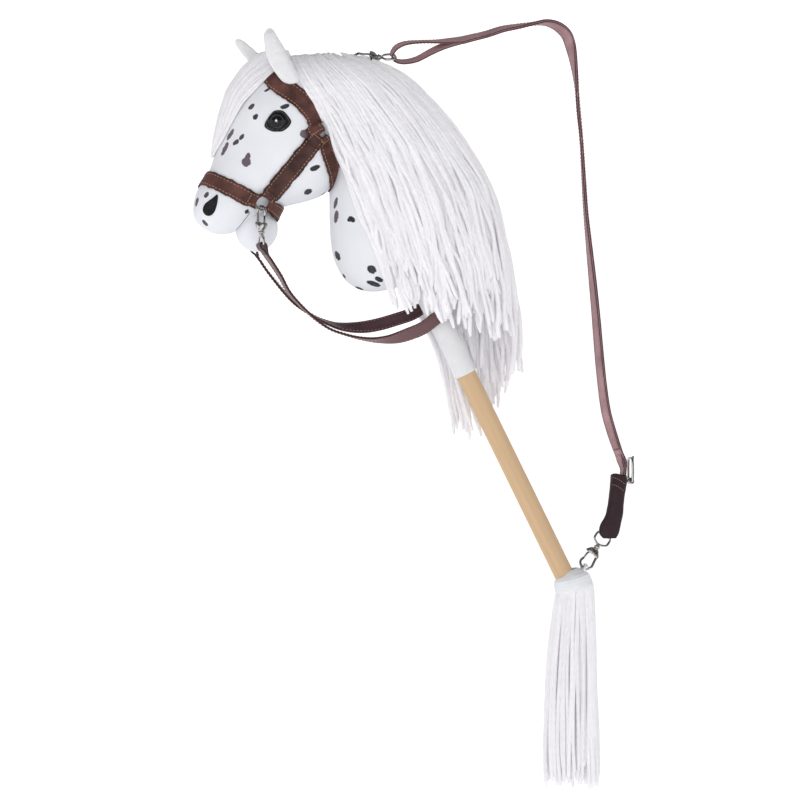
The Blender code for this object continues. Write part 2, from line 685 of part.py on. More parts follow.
# The chin strap hangs round the back of the lower jaw from ring to ring
CHIN_REACH = 0.0265
chin_across = Vector((-CHIN_AIM.y, 0, CHIN_AIM.x))
chin_along = Vector((CHIN_AIM.x, 0, CHIN_AIM.y))
chin_stations = []
for i in range(13):
    turn = math.radians(20 + 140 * i / 12)
    middle = mm(*LOWER_RING_AT) + chin_along * (CHIN_REACH * math.sin(turn))
    middle += ACROSS * (lower_ring["right"].y * -math.cos(turn))
    chin_stations.append((middle, chin_across, CHIN_WIDTH, HALTER_LEATHER))
chin_strap = add("chin_strap", strap("chin_strap", chin_stations), HALTER)
for mesh in both(lower_fold, CHIN_AIM):
    combine(chin_strap, mesh, "UNION")
for form in (head_skin, jaw_skin, *LOWER_ROOMS):
    combine(chin_strap, form, "DIFFERENCE", "MANIFOLD")
for side_name in SIDES:
    combine(chin_strap, room_round(bpy.data.objects[f"cheek_strap_{side_name}"]), "DIFFERENCE",
            "MANIFOLD")


# Snap, in its own measures: origin at the wire it holds, x across the hook, y towards the hook's crown
HOOK_RADIUS = HOOK_OPENING / 2
HOOK_MIDDLE = HOOK_RADIUS + HOOK_WIRE / 2
CROWN_CENTRE = RING_WIRE / 2 + HOOK_SLACK - HOOK_RADIUS
BODY_TOP = -0.0142
NOSE_END = -0.0062
GATE_PIVOT = Vector((0.0044, -0.0170))
GATE_TIP = Vector((0.0061, NOSE_END - 0.0005))
GATE_DISC = 0.0044
GATE_SLOT = GATE_WIRE + 2 * GAP
PIN_DIAMETER = 0.0014
WINDOW = (-0.0234, -0.0206)
COLLAR_END = -0.0250
POST_DIAMETER = 0.0024
RIVET_DIAMETER = 0.0040
EYE_START = -0.0274
EYE_SPAN = 0.0112       # from the post's end of the eye to its far bar, between wire centres
BODY_OUTLINE = [(-7.6, -12.4), (-5.4, -12.4), (-3.9, -14.2), (6.8, -14.2), (7.6, -15.2), (7.6, -17.6),
                (4.2, -20.4), (4.2, -25.0), (-4.2, -25.0), (-4.2, -20.4), (-7.6, -16.6)]


def snap(name, hold, towards, wire, outward, eye_across, eye_extra=0.0):
    """A swivel snap: hook, gate and eye. Returns the middle of the eye's far bar and the eye's cutter."""
    yaw = math.radians(HOOK_YAW)
    across = wire * math.cos(yaw) + outward * math.sin(yaw)
    across = (across - towards * across.dot(towards)).normalized()
    place = frame_at(hold, across, across.cross(towards))

    def at(x, y, z=0.0):
        return place @ Vector((x, y, z))

    points = [at(-HOOK_MIDDLE + 0.0008, BODY_TOP), at(-HOOK_MIDDLE, BODY_TOP + 0.005)]
    for i in range(9):
        turn = math.pi * (1 - i / 8)
        points.append(at(HOOK_MIDDLE * math.cos(turn), CROWN_CENTRE + HOOK_MIDDLE * math.sin(turn)))
    points.append(at(HOOK_MIDDLE - 0.0004, NOSE_END))
    outline = [(x * MM, y * MM) for x, y in BODY_OUTLINE]
    hook = add(f"{name}_hook", plate(f"{name}_hook", outline, SNAP_BODY_THICKNESS, place), STEEL)
    combine(hook, tube("claw", points, HOOK_WIRE), "UNION")
    slot_low = (GATE_PIVOT.x - GATE_DISC / 2 - 0.0008, GATE_PIVOT.y - GATE_DISC / 2 - GAP, -GATE_SLOT / 2)
    slot_high = (0.010, NOSE_END - 0.003, GATE_SLOT / 2)
    combine(hook, block("slot", place, slot_low, slot_high), "DIFFERENCE")
    pin_half = SNAP_BODY_THICKNESS / 2 - 0.0004
    combine(hook, rod("pin", at(*GATE_PIVOT, -pin_half), at(*GATE_PIVOT, pin_half), PIN_DIAMETER / 2, 8),
            "UNION")
    window_half = RIVET_DIAMETER / 2 + GAP * 1.5
    combine(hook, block("window", place, (-window_half, WINDOW[0], -0.005), (window_half, WINDOW[1], 0.005)),
            "DIFFERENCE")
    combine(hook, rod("collar_hole", at(0, WINDOW[1] - 0.001), at(0, COLLAR_END - 0.001),
                      POST_DIAMETER / 2 + GAP, 10), "DIFFERENCE")

    half_wire = GATE_WIRE / 2
    gate = add(f"{name}_gate", rod("gate", at(*GATE_PIVOT, -half_wire), at(*GATE_PIVOT, half_wire),
                                   GATE_DISC / 2, 12), STEEL)
    combine(gate, tube("gate_bar", [at(*GATE_PIVOT), at(*GATE_TIP)], GATE_WIRE * 0.92), "UNION")
    combine(gate, tube("thumb_lever", [at(*GATE_PIVOT), at(0.0086, -0.0158)], GATE_WIRE * 0.85), "UNION")
    combine(gate, rod("pin_hole", at(*GATE_PIVOT, -0.004), at(*GATE_PIVOT, 0.004), PIN_DIAMETER / 2 + GAP, 8),
            "DIFFERENCE")

    eye_place = frame_at(hold, eye_across, eye_across.cross(towards))
    far_bar = EYE_START - EYE_SPAN - eye_extra
    half = SNAP_EYE_WIDTH / 2
    corner = 0.0022
    loop = [(-corner, EYE_START), (corner, EYE_START), (half - 0.001, EYE_START - 0.0028),
            (half, EYE_START - 0.005), (half, far_bar + corner), (half - corner, far_bar),
            (corner - half, far_bar), (-half, far_bar + corner), (-half, EYE_START - 0.005),
            (0.001 - half, EYE_START - 0.0028)]
    loop = [eye_place @ Vector((x, y, 0)) for x, y in loop]
    eye = add(f"{name}_eye", tube("eye", loop, EYE_WIRE, closed=True), STEEL)
    combine(eye, rod("post", at(0, WINDOW[0] + 0.0005), at(0, EYE_START), POST_DIAMETER / 2, 10), "UNION")
    combine(eye, rod("rivet", at(0, WINDOW[0] + 0.0004), at(0, WINDOW[1] - 0.0004), RIVET_DIAMETER / 2, 10),
            "UNION")
    eye_room = cutter(tube(f"{name}_eye_room", loop, EYE_WIRE + 2 * GAP, closed=True))
    set_origin(hook, hold)
    set_origin(gate, at(*GATE_PIVOT))
    return hold + towards * far_bar, eye_room


# The rein: clipped to both lower rings and looped round the sleeve
HOLD_TURN = math.radians(-100)
REIN_TURN = math.radians(65)    # how far the rein's width at the snap is turned out from the horse's plane
radial = Vector((math.cos(HOLD_TURN), 0, math.sin(HOLD_TURN)))
tangent = Vector((-radial.z, 0, radial.x))
rein_bar = {}
rein_across = {}
rein_cutters = []
for side_name, side in SIDES.items():
    outward = ACROSS * side
    rein_across[side_name] = Vector((1, 0, 0)) * math.cos(REIN_TURN) + outward * math.sin(REIN_TURN)
    bar, eye_room = snap(f"rein_snap_{side_name}", lower_ring[side_name] + radial * LOWER_RING_MIDDLE, UP,
                         tangent, outward, rein_across[side_name])
    rein_bar[side_name] = bar
    rein_cutters.append(eye_room)

LOOP_UP = {"left": 0.190, "right": 0.207}
sleeve_radius = SLEEVE_BORE + (SLEEVE_WALL + SLEEVE_WALL_TOP) / 2
loop_radius = sleeve_radius + GAP + REIN_LEATHER / 2
# Free stretches from the snap to the stick: x, z, out from the horse's plane, share of the turn to face up
REIN_LEFT = [(-285, 241, 35, 0.0), (-270, 219, 33, 0.05), (-258, 199, 30, 0.12), (-237, 178, 26, 0.25),
             (-215, 162, 23, 0.40), (-194, 154.5, 20.5, 0.55), (-176, 150.5, 19, 0.72), (-159, 149, 17.5, 0.85),
             (-141, 150.5, 16, 0.94), (-122, 154, 15, 1.0), (-104, 160.5, 14.4, 1.0)]
REIN_RIGHT = [(-285, 241, 35, 0.0), (-271, 221, 33, 0.06), (-249, 195, 29, 0.18), (-227, 178, 25, 0.32),
              (-205, 167.5, 22, 0.48), (-189, 164, 20, 0.62), (-171, 164, 18.5, 0.76), (-153, 167, 17, 0.88),
              (-134, 171.5, 15.8, 0.96), (-113, 177, 14.6, 1.0)]


def rein_stations(side_name, rows):
    """Stations from the snap towards the stick."""
    side = SIDES[side_name]
    points = [rein_bar[side_name] - UP * 0.004] + [mm(x, z, side * y) for x, z, y, _ in rows]
    points.append(STICK_UP * LOOP_UP[side_name] + ACROSS * (side * loop_radius))
    shares = [0.0] + [share for _, _, _, share in rows] + [1.0]
    start = rein_across[side_name] * side
    packed = [Vector((*point, share)) for point, share in zip(points, shares)]
    return [(Vector(step[:3]), (start.lerp(STICK_UP * side, step[3])).normalized(), REIN_WIDTH, REIN_LEATHER)
            for step in smooth_path(packed, 20)]


left_run = rein_stations("left", REIN_LEFT)
right_run = [(middle, -across, width, leather)
             for middle, across, width, leather in rein_stations("right", REIN_RIGHT)]
turn_round = []
for i in range(1, 10):
    turn = math.pi * (i / 10 - 0.5)
    height = LOOP_UP["left"] + (LOOP_UP["right"] - LOOP_UP["left"]) * i / 10
    middle = STICK_UP * height + (-STICK_FRONT * math.cos(turn) + ACROSS * math.sin(turn)) * loop_radius
    turn_round.append((middle, -STICK_UP, REIN_WIDTH, REIN_LEATHER))
rein_strap = add("rein_strap", strap("rein_strap", left_run + turn_round + right_run[::-1]), REIN)
fold_half = EYE_WIRE / 2 + GAP + REIN_LEATHER
for side_name, side in SIDES.items():
    across = rein_across[side_name]
    place = frame_at(rein_bar[side_name], across, across.cross(-UP))
    combine(rein_strap, block("rein_fold", place, (-REIN_WIDTH / 2 + 0.0001, -fold_half, -fold_half),
                              (REIN_WIDTH / 2 - 0.0001, fold_half + 0.004, fold_half)), "UNION")
for room in rein_cutters:
    combine(rein_strap, room, "DIFFERENCE")

# The ring on the crest and the carrying strap's upper snap
TOP_TOWARDS = Vector((-0.995, 0, -0.10)).normalized()
TOP_HOLD = mm(-178.5, 460.9)
TOP_EYE_EXTRA = 0.0038
crest_normal = TOP_TOWARDS.cross(ACROSS)
crest_centre = TOP_HOLD + TOP_TOWARDS * LOWER_RING_MIDDLE
neck_ring = add("neck_ring", torus("neck_ring", crest_centre, crest_normal, LOWER_RING_MIDDLE, RING_WIRE, 20),
                STEEL)
set_origin(neck_ring, crest_centre)
neck_ring_room = cutter(torus("neck_ring_room", crest_centre, crest_normal, LOWER_RING_MIDDLE,
                              RING_WIRE + 2 * GAP, 20))
fold_at = crest_centre + TOP_TOWARDS * LOWER_RING_MIDDLE
tab_block = block("tab_block", Matrix.Translation(fold_at), (-0.0036, -0.0055, -0.024),
                  (0.0036, 0.0055, FOLD_HALF))
neck_ring_tab = add("neck_ring_tab", tab_block.copy(), HALTER)
for form in (neck_ring_room, head_skin, neck_skin):
    combine(neck_ring_tab, form, "DIFFERENCE")
top_across = (ACROSS * math.cos(math.radians(25)) + UP * math.sin(math.radians(25))).normalized()
top_bar, top_eye_room = snap("top_snap", TOP_HOLD, TOP_TOWARDS, ACROSS, UP, top_across, TOP_EYE_EXTRA)

# Tail: yarn bound to the stick's end, with the loop for the lower snap
BAND_MIDDLE = mm(65.5, -119.5)
band_lean = math.radians(BAND_LEAN)
BAND_UP = Vector((-math.sin(band_lean), 0, math.cos(band_lean)))
band_place = frame_at(BAND_MIDDLE, ACROSS, BAND_UP)
band_half = BAND_HEIGHT / 2
band_radius = BAND_DIAMETER / 2
BAND_SHOULDER = 0.011   # how far in from its side the band's top starts to slope
SHOULDER_DROP = 0.0075
band_profile = [(0, band_half), (band_radius - BAND_SHOULDER, band_half),
                (band_radius - 0.002, band_half - SHOULDER_DROP), (band_radius, -band_half), (0, -band_half)]
tail_band = add("tail_band", turned("tail_band", band_profile, band_place, 24), SLEEVE_CLOTH)
stick_room = turned("stick_room", stick_profile(STICK_RADIUS + GAP, -STICK_BELOW - GAP, 0, STICK_CHAMFER),
                    STICK_PLACE)
combine(tail_band, stick_room, "DIFFERENCE")
# Rows down the tail: depth below the band as a share of its length, middle x, share of its diameter
TAIL_ROWS = [(0.0, 68.5, 0.66), (0.10, 68, 0.76), (0.30, 66, 0.87), (0.55, 64.5, 0.96), (0.80, 64, 1.0),
             (0.94, 65, 1.0), (1.0, 65.5, 0.90)]
TAIL_LOCKS = 8
TAIL_GROOVE = 0.0024    # depth of the grooves between the tail's locks at their foot
TAIL_NOTCH = 0.009
tail_top = (BAND_MIDDLE - BAND_UP * (band_half - 0.004)).z
tail_rings = []
for depth, middle, share in TAIL_ROWS:
    height = tail_top - TAIL_LENGTH * depth
    ring = []
    for i in range(2 * TAIL_LOCKS):
        turn = math.pi * i / TAIL_LOCKS
        radius = TAIL_DIAMETER / 2 * share - (i % 2) * TAIL_GROOVE * depth
        rise = (i % 2) * TAIL_NOTCH if depth == 1.0 else 0.0
        ring.append(Vector((middle * MM + radius * math.cos(turn), 0.82 * radius * math.sin(turn), height + rise)))
    tail_rings.append(ring)
tail_yarn = add("tail_yarn", loft("tail_yarn", tail_rings), YARN)
band_room = turned("band_room", [(0, band_half), (band_radius + GAP, band_half),
                                 (band_radius + GAP, -band_half - GAP), (0, -band_half - GAP)], band_place, 24)
combine(tail_yarn, band_room, "DIFFERENCE")

LOW_HOLD = mm(81, -102.5)
LOW_TOWARDS = Vector((-0.56, 0, -0.83)).normalized()
LOOP_FOOT = 0.0075
loop_base = BAND_MIDDLE + BAND_UP * (band_half - 0.010) - BAND_UP.cross(ACROSS) * (band_radius - 0.0055)
loop_points = [loop_base - ACROSS * LOOP_FOOT - BAND_UP * 0.003, loop_base - ACROSS * LOOP_FOOT + BAND_UP * 0.0075,
               LOW_HOLD - ACROSS * 0.0062 - BAND_UP * 0.002, LOW_HOLD - ACROSS * 0.003, LOW_HOLD,
               LOW_HOLD + ACROSS * 0.003, LOW_HOLD + ACROSS * 0.0062 - BAND_UP * 0.002,
               loop_base + ACROSS * LOOP_FOOT + BAND_UP * 0.0075, loop_base + ACROSS * LOOP_FOOT - BAND_UP * 0.003]
tail_loop = add("tail_loop", tube("tail_loop", loop_points, LOOP_CORD), SLEEVE_CLOTH)
combine(tail_band, tube("loop_room", loop_points, LOOP_CORD + 2 * GAP), "DIFFERENCE", "MANIFOLD")
low_across = LOW_TOWARDS.cross(ACROSS)
low_out = -low_across
low_bar, low_eye_room = snap("bottom_snap", LOW_HOLD, LOW_TOWARDS, ACROSS, low_out, low_across, 0.002)

# Buckle and the folded tab below it
BUCKLE_MIDDLE = mm(133.5, 4.5)
half_wide = (BUCKLE_WIDTH - BUCKLE_WIRE) / 2
half_high = (BUCKLE_HEIGHT - BUCKLE_WIRE) / 2
corner = 0.003
frame_points = [BUCKLE_MIDDLE + Vector((0, y, z)) for y, z in (
    (-half_wide, corner - half_high), (corner - half_wide, -half_high), (half_wide - corner, -half_high),
    (half_wide, corner - half_high), (half_wide, half_high - corner), (half_wide - corner, half_high),
    (corner - half_wide, half_high), (-half_wide, half_high - corner))]
buckle_frame = add("buckle_frame", tube("buckle_frame", frame_points, BUCKLE_WIRE, closed=True), STEEL)
buckle_room = cutter(tube("buckle_room", frame_points, BUCKLE_WIRE + 2 * GAP, closed=True))
hinge_at = BUCKLE_MIDDLE - UP * half_high
PRONG_WIRE = 0.0022
prong_half = 0.002
prong_out = BUCKLE_WIRE / 2 + GAP + PRONG_WIRE / 2
prong = add("buckle_prong", rod("prong_knuckle", hinge_at - ACROSS * prong_half, hinge_at + ACROSS * prong_half,
                                prong_out + PRONG_WIRE / 2, 12), STEEL)
prong_x = Vector((prong_out, 0, 0))
combine(prong, tube("prong_bar", [hinge_at + prong_x, hinge_at + prong_x + UP * (2 * half_high + 0.002)],
                    PRONG_WIRE), "UNION")
combine(prong, rod("prong_hole", hinge_at - ACROSS * 0.004, hinge_at + ACROSS * 0.004,
                   BUCKLE_WIRE / 2 + GAP, 12), "DIFFERENCE")
set_origin(prong, hinge_at)

# Carrying strap: x, z and how far its face is turned towards the left side, in degrees
CARRY_RUN = [(-62, 484, 33), (-51, 487, 35), (-32, 492, 20), (-14, 498, 8), (6, 502, 5), (24, 505.5, 12),
             (36, 506.5, 18), (48, 503, 25), (58, 495, 32), (63, 484, 38), (67, 466, 43), (70.5, 440, 50),
             (73, 410, 58), (76.5, 374, 63), (79, 334, 66), (81.5, 295, 70), (85, 260, 73), (89, 222, 75),
             (93, 180, 74), (97, 134, 65), (100.5, 101, 55), (105, 70, 42), (112, 45, 30), (119, 25, 15),
             (124, 12, 6), (125, 2, 0), (123, -8, 0), (121, -15, 0)]
TEARDROP = [(-57, 485.6, 34), (-87, 482.5, 20), (-105, 481.8, 16), (-123, 480, 20), (-134, 475.5, 25),
            (-139.6, 468.5, 25), (-139.2, 463, 25), (-134, 459.6, 25), (-125, 459, 25), (-112, 462, 28),
            (-98, 469.5, 32), (-86, 475.5, 34), (-74, 480, 34), (-57, 485, 34)]
SINGLE_LEATHER = CARRY_LEATHER / 2
TEARDROP_WIDTH = CARRY_WIDTH - 2 * GAP   # narrower than the doubled run that its ends lie in


def flat_run(rows, count, width, leather, level=False):
    """Stations of a strap in the horse's plane, its width turned from Y towards the left side.

    The turn is about the strap's own run, or about the level when the strap doubles back on itself.
    """
    stations = []
    steps = smooth_path([Vector(row) for row in rows], count)
    for i, (x, z, turn) in enumerate(steps):
        before = steps[max(i - 1, 0)]
        after = steps[min(i + 1, count - 1)]
        along = Vector((after[0] - before[0], 0, after[1] - before[1])).normalized()
        sideways = UP if level else Vector((-along.z, 0, along.x))
        across = ACROSS * math.cos(math.radians(turn)) + sideways * math.sin(math.radians(turn))
        stations.append((mm(x, z), across, width, leather))
    return stations


carry_strap = add("carry_strap", strap("carry_strap", flat_run(CARRY_RUN, 44, CARRY_WIDTH, CARRY_LEATHER)), REIN)
combine(carry_strap, strap("teardrop", flat_run(TEARDROP, 26, TEARDROP_WIDTH, SINGLE_LEATHER, True)),
        "UNION", "MANIFOLD")
combine(carry_strap, top_eye_room, "DIFFERENCE", "MANIFOLD")
combine(carry_strap, buckle_room, "DIFFERENCE", "MANIFOLD")
strap_room = cutter(strap("strap_room", [(middle, across, width + 4 * GAP, leather + 4 * GAP)
                                         for middle, across, width, leather
                                         in flat_run(CARRY_RUN, 44, CARRY_WIDTH, CARRY_LEATHER)]))

keeper_at = mm(119, 25)
keeper_along = mm(124, 12) - mm(112, 45)
KEEPER_LEATHER = 0.0014
KEEPER_HEIGHT = 0.006
keeper_flat = CARRY_LEATHER / 2 + 2 * GAP + KEEPER_LEATHER
keeper_wide = CARRY_WIDTH / 2 + 2 * GAP + KEEPER_LEATHER
KEEPER_TURN = 15.0      # degrees, as far as the strap is turned there
keeper_place = frame_at(keeper_at, ACROSS, keeper_along) @ Matrix.Rotation(math.radians(KEEPER_TURN), 4, "Z")
keeper = add("strap_keeper", block("strap_keeper", keeper_place,
                                   (-keeper_wide, -keeper_flat, -KEEPER_HEIGHT / 2),
                                   (keeper_wide, keeper_flat, KEEPER_HEIGHT / 2)), REIN)
combine(keeper, strap_room, "DIFFERENCE")

# Rows down the tab: middle x, z, width seen from the side, width across
TAB_ROWS = [(119.5, -2, 18, 19), (119.5, -10, 19, 18), (117, -28, 18, 15), (114.5, -46, 20, 12),
            (110, -58, 24, 9.5), (108.5, -67, 23, 8.5), (109, -73, 15, 7.5)]
tab_rings = []
for x, z, wide, deep in TAB_ROWS:
    ring = []
    for i in range(12):
        turn = 2 * math.pi * i / 12
        ring.append(mm(x + wide / 2 * full(math.cos(turn)), z, deep / 2 * full(math.sin(turn))))
    tab_rings.append(ring)
carry_tab = add("carry_tab", loft("carry_tab", tab_rings), REIN)
chape_high = BUCKLE_WIRE / 2 + GAP + 0.002
combine(carry_tab, block("chape", Matrix.Translation(hinge_at), (-0.013, -0.0078, -chape_high),
                         (chape_high, 0.0078, chape_high)), "UNION")
tab_fold_place = frame_at(low_bar, low_across, low_across.cross(-LOW_TOWARDS))
tab_fold = EYE_WIRE / 2 + GAP + 0.002
combine(carry_tab, block("tab_fold", tab_fold_place, (-0.0062, -tab_fold, -tab_fold),
                         (0.0062, 0.010, tab_fold)), "UNION")
combine(carry_tab, block("prong_notch", Matrix.Translation(hinge_at),
                         (-prong_out - PRONG_WIRE, -prong_half - GAP, -0.02), (0.02, prong_half + GAP, 0.02)),
        "DIFFERENCE")
for form in (buckle_room, low_eye_room, strap_room):
    combine(carry_tab, form, "DIFFERENCE", "MANIFOLD")

# Mane, forelock and the tape that the mane is sewn to
TAPE_OUTLINE = [(-176, 452), (-150, 436), (-120, 405), (-96, 370), (-76, 330), (-70, 300), (-90, 300),
                (-100, 330), (-120, 362), (-142, 392), (-168, 424), (-186, 440)]
TAPE_THICKNESS = 0.0016
TAPE_HALF = 0.009       # half its width across the crest
mane_tape = add("mane_tape", side_plate("mane_tape", TAPE_OUTLINE, -TAPE_HALF, TAPE_HALF), SLEEVE_CLOTH)
combine(mane_tape, leather_skin("tape_skin", TAPE_THICKNESS, NECK_FORM), "INTERSECT")
combine(mane_tape, neck_skin, "DIFFERENCE")
combine(mane_tape, head_skin, "DIFFERENCE")

# Rows down the mane: z, front x, back x, how far out the yarn starts, inner face, where that face ends
MANE_ROWS = [(458, -222, -160, 9, 2, -195), (440, -238, -126, 25, 2, -185), (410, -230, -88, 35, 2, -165),
             (375, -216, -56, 43, 2, -150), (335, -200, -30, 49, 2, -130), (300, -184, -15, 53, 2, -120),
             (258, -176, -5, 53, 46, -95), (225, -163, -2, 50, 46, -88), (195, -150, 1, 45, 46, -64),
             (168, -134, 1, 38, 40, -52)]
FAR_ROWS = MANE_ROWS[:-2] + [(195, -140, 2, 45, 42, -64), (150, -100, 6, 35, 34, -46), (105, -66, 14, 27, 24, -20),
                             (70, -60, 8, 21, 24, -14), (40, -50, 1, 15, 22, -6)]
MANE_PLANE = 0.15       # half the gap between the two falls
CHANNEL_HALF = 0.0102   # of the parting that the upper snap and its ring lie in
hair_bed = cutter(grown(HEAD_FORM, 4 * GAP, "hair_bed"))   # closes the crease where the head meets the neck
snap_channel = cutter(block("snap_channel", Matrix.Identity(4), (-0.204, -CHANNEL_HALF, 0.450),
                            (-0.143, CHANNEL_HALF, 0.490)))


# The outer face of a fall, from its back edge to its front edge: share of the width, share of the height
FALL_FACE = [(0.0, 0.0), (0.08, 0.55), (0.28, 0.9), (0.55, 1.0), (0.86, 0.96), (1.0, 0.80)]
LOCKS = 6               # locks of yarn that lie side by side in a fall
LOCK_DEPTH = 3.4        # millimetres that the grooves between locks sink in at the fall's foot
LOCK_NOTCH = 13.0       # millimetres that the grooves rise into the foot
LOCKS_FROM = 440.0      # the height above the stick's end where the locks begin to part


def face_height(share):
    for (low, low_height), (high, high_height) in zip(FALL_FACE, FALL_FACE[1:]):
        if share <= high:
            return low_height + (high_height - low_height) * (share - low) / (high - low)
    return FALL_FACE[-1][1]


def mane(name, side, rows):
    rings = []
    foot = rows[-1][0]
    for z, front, back, start, inner, inner_back in rows:
        length = back - front
        out = start + MANE_THICKNESS / MM
        fallen = max(0.0, (LOCKS_FROM - z) / (LOCKS_FROM - foot))
        ring = [(back, MANE_PLANE, 0.0)]
        for i in range(1, 2 * LOCKS + 1):
            share = i / (2 * LOCKS)
            groove = i % 2 if i > 1 else 0.5
            rise = LOCK_NOTCH * groove if z == foot else 0.0
            ring.append((back - share * length, face_height(share) * out - LOCK_DEPTH * groove * fallen, rise))
        ring += [(front + 1, inner, 0.0), (inner_back, inner - 0.5, 0.0), (inner_back + 1, MANE_PLANE, 0.0)]
        rings.append([mm(x, z + rise, side * y) for x, y, rise in ring])
    made = add(name, loft(name, rings), YARN)
    for form in (neck_skin, hair_bed, snap_channel):
        combine(made, form, "DIFFERENCE")
    return made


mane_left = mane("mane_left", LEFT, MANE_ROWS)
mane_right = mane("mane_right", RIGHT, FAR_ROWS)
# Forelock rings from the poll to the tip: top, bottom, half width
FORELOCK_RINGS = [((-262, 467), (-252, 446), 12), ((-288, 464), (-272, 438), 20), ((-309, 444), (-290, 424), 29),
                  ((-323, 424), (-306, 408), 30), ((-331, 396), (-318, 388), 27), ((-337, 367), (-327, 364), 20),
                  ((-339, 353), (-334, 351), 8)]
forelock_cage = [oval_ring(mm(*top), mm(*bottom), wide * MM) for top, bottom, wide in FORELOCK_RINGS]
forelock = add("forelock", loft("forelock", forelock_cage), YARN)
combine(forelock, head_skin, "DIFFERENCE")
brow_room = room_round(bpy.data.objects["brow_strap"])
ear_right = bpy.data.objects["ear_right"]
combine(ear_right, brow_room, "DIFFERENCE")
combine(forelock, brow_room, "DIFFERENCE", "MANIFOLD")
combine(forelock, room_round(ear_right), "DIFFERENCE", "MANIFOLD")
throat_room = room_round(bpy.data.objects["throat_strap"], 2 * GAP)
tape_room = cutter(grown(side_plate("tape_plate", TAPE_OUTLINE, -TAPE_HALF, TAPE_HALF), 3 * GAP, "tape_room"))
combine(tape_room, leather_skin("tape_room_skin", TAPE_THICKNESS + GAP, NECK_FORM), "INTERSECT")
tab_room = cutter(grown(tab_block, 2 * GAP, "tab_room"))
for hair in (mane_left, mane_right):
    for room in (throat_room, tape_room, tab_room):
        combine(hair, room, "DIFFERENCE", "MANIFOLD")
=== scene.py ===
"""Looks of the hobby horse: plush head, yarn mane and tail, leather tack and nickel fittings.

The horse looks along -X, +Z is up and its left side is at -Y. All sizes are in metres unless a
table says millimetres; points of the photograph are pixels of its 800 by 800 frame.
"""
import math
import random

import bmesh
import bpy
import numpy as np
from mathutils import Matrix, Vector, noise
from mathutils.bvhtree import BVHTree


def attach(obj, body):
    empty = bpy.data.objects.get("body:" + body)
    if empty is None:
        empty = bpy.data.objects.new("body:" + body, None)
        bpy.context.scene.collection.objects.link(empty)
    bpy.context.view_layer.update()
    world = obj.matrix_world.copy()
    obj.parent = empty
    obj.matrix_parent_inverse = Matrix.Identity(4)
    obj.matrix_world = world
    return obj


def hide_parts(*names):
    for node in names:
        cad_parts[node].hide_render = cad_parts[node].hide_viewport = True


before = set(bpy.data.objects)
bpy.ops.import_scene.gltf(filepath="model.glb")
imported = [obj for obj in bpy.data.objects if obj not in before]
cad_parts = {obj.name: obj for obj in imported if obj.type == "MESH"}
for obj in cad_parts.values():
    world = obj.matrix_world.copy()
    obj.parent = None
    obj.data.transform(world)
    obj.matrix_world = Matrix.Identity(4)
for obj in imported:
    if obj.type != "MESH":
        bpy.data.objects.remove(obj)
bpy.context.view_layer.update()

MM = 0.001
LEFT = -1
RIGHT = 1
SIDES = {LEFT: "left", RIGHT: "right"}
BODY = "horse"
ACROSS = Vector((0, 1, 0))
UP = Vector((0, 0, 1))
OUTSIDE = 200           # millimetres out of the horse's plane, beyond all of it: where rays start


def mm(x, z, y=0.0):
    """A point given in millimetres in the horse's plane, y out of it."""
    return Vector((x * MM, y * MM, z * MM))


# Camera: level, ten degrees round to the horse's front, three metres away
VIEW_TURN = math.radians(10)
VIEW_DISTANCE = 3.0
PIXEL = 0.00112
FRAME_PIXELS = 800
SENSOR = 36.0
VIEW_RIGHT = Vector((math.cos(VIEW_TURN), -math.sin(VIEW_TURN), 0))
VIEW_AHEAD = Vector((math.sin(VIEW_TURN), math.cos(VIEW_TURN), 0))
FRAME_CENTRE = VIEW_RIGHT * -0.1288 + UP * 0.0829
CAMERA_AT = FRAME_CENTRE - VIEW_AHEAD * VIEW_DISTANCE


def at_pixel(px, py, y=0.0):
    """The point in millimetres off the horse's plane that the photograph shows at a pixel."""
    right, down = px - FRAME_PIXELS / 2, py - FRAME_PIXELS / 2
    ray = VIEW_AHEAD * VIEW_DISTANCE + VIEW_RIGHT * (right * PIXEL) - UP * (down * PIXEL)
    return CAMERA_AT + ray * ((y * MM - CAMERA_AT.y) / ray.y)


camera_data = bpy.data.cameras.new("camera")
camera_data.sensor_width = SENSOR
camera_data.lens = SENSOR * VIEW_DISTANCE / (FRAME_PIXELS * PIXEL)
camera = bpy.data.objects.new("camera", camera_data)
camera.location = CAMERA_AT
camera.rotation_euler = (math.pi / 2, 0, -VIEW_TURN)
bpy.context.scene.collection.objects.link(camera)
bpy.context.scene.camera = camera


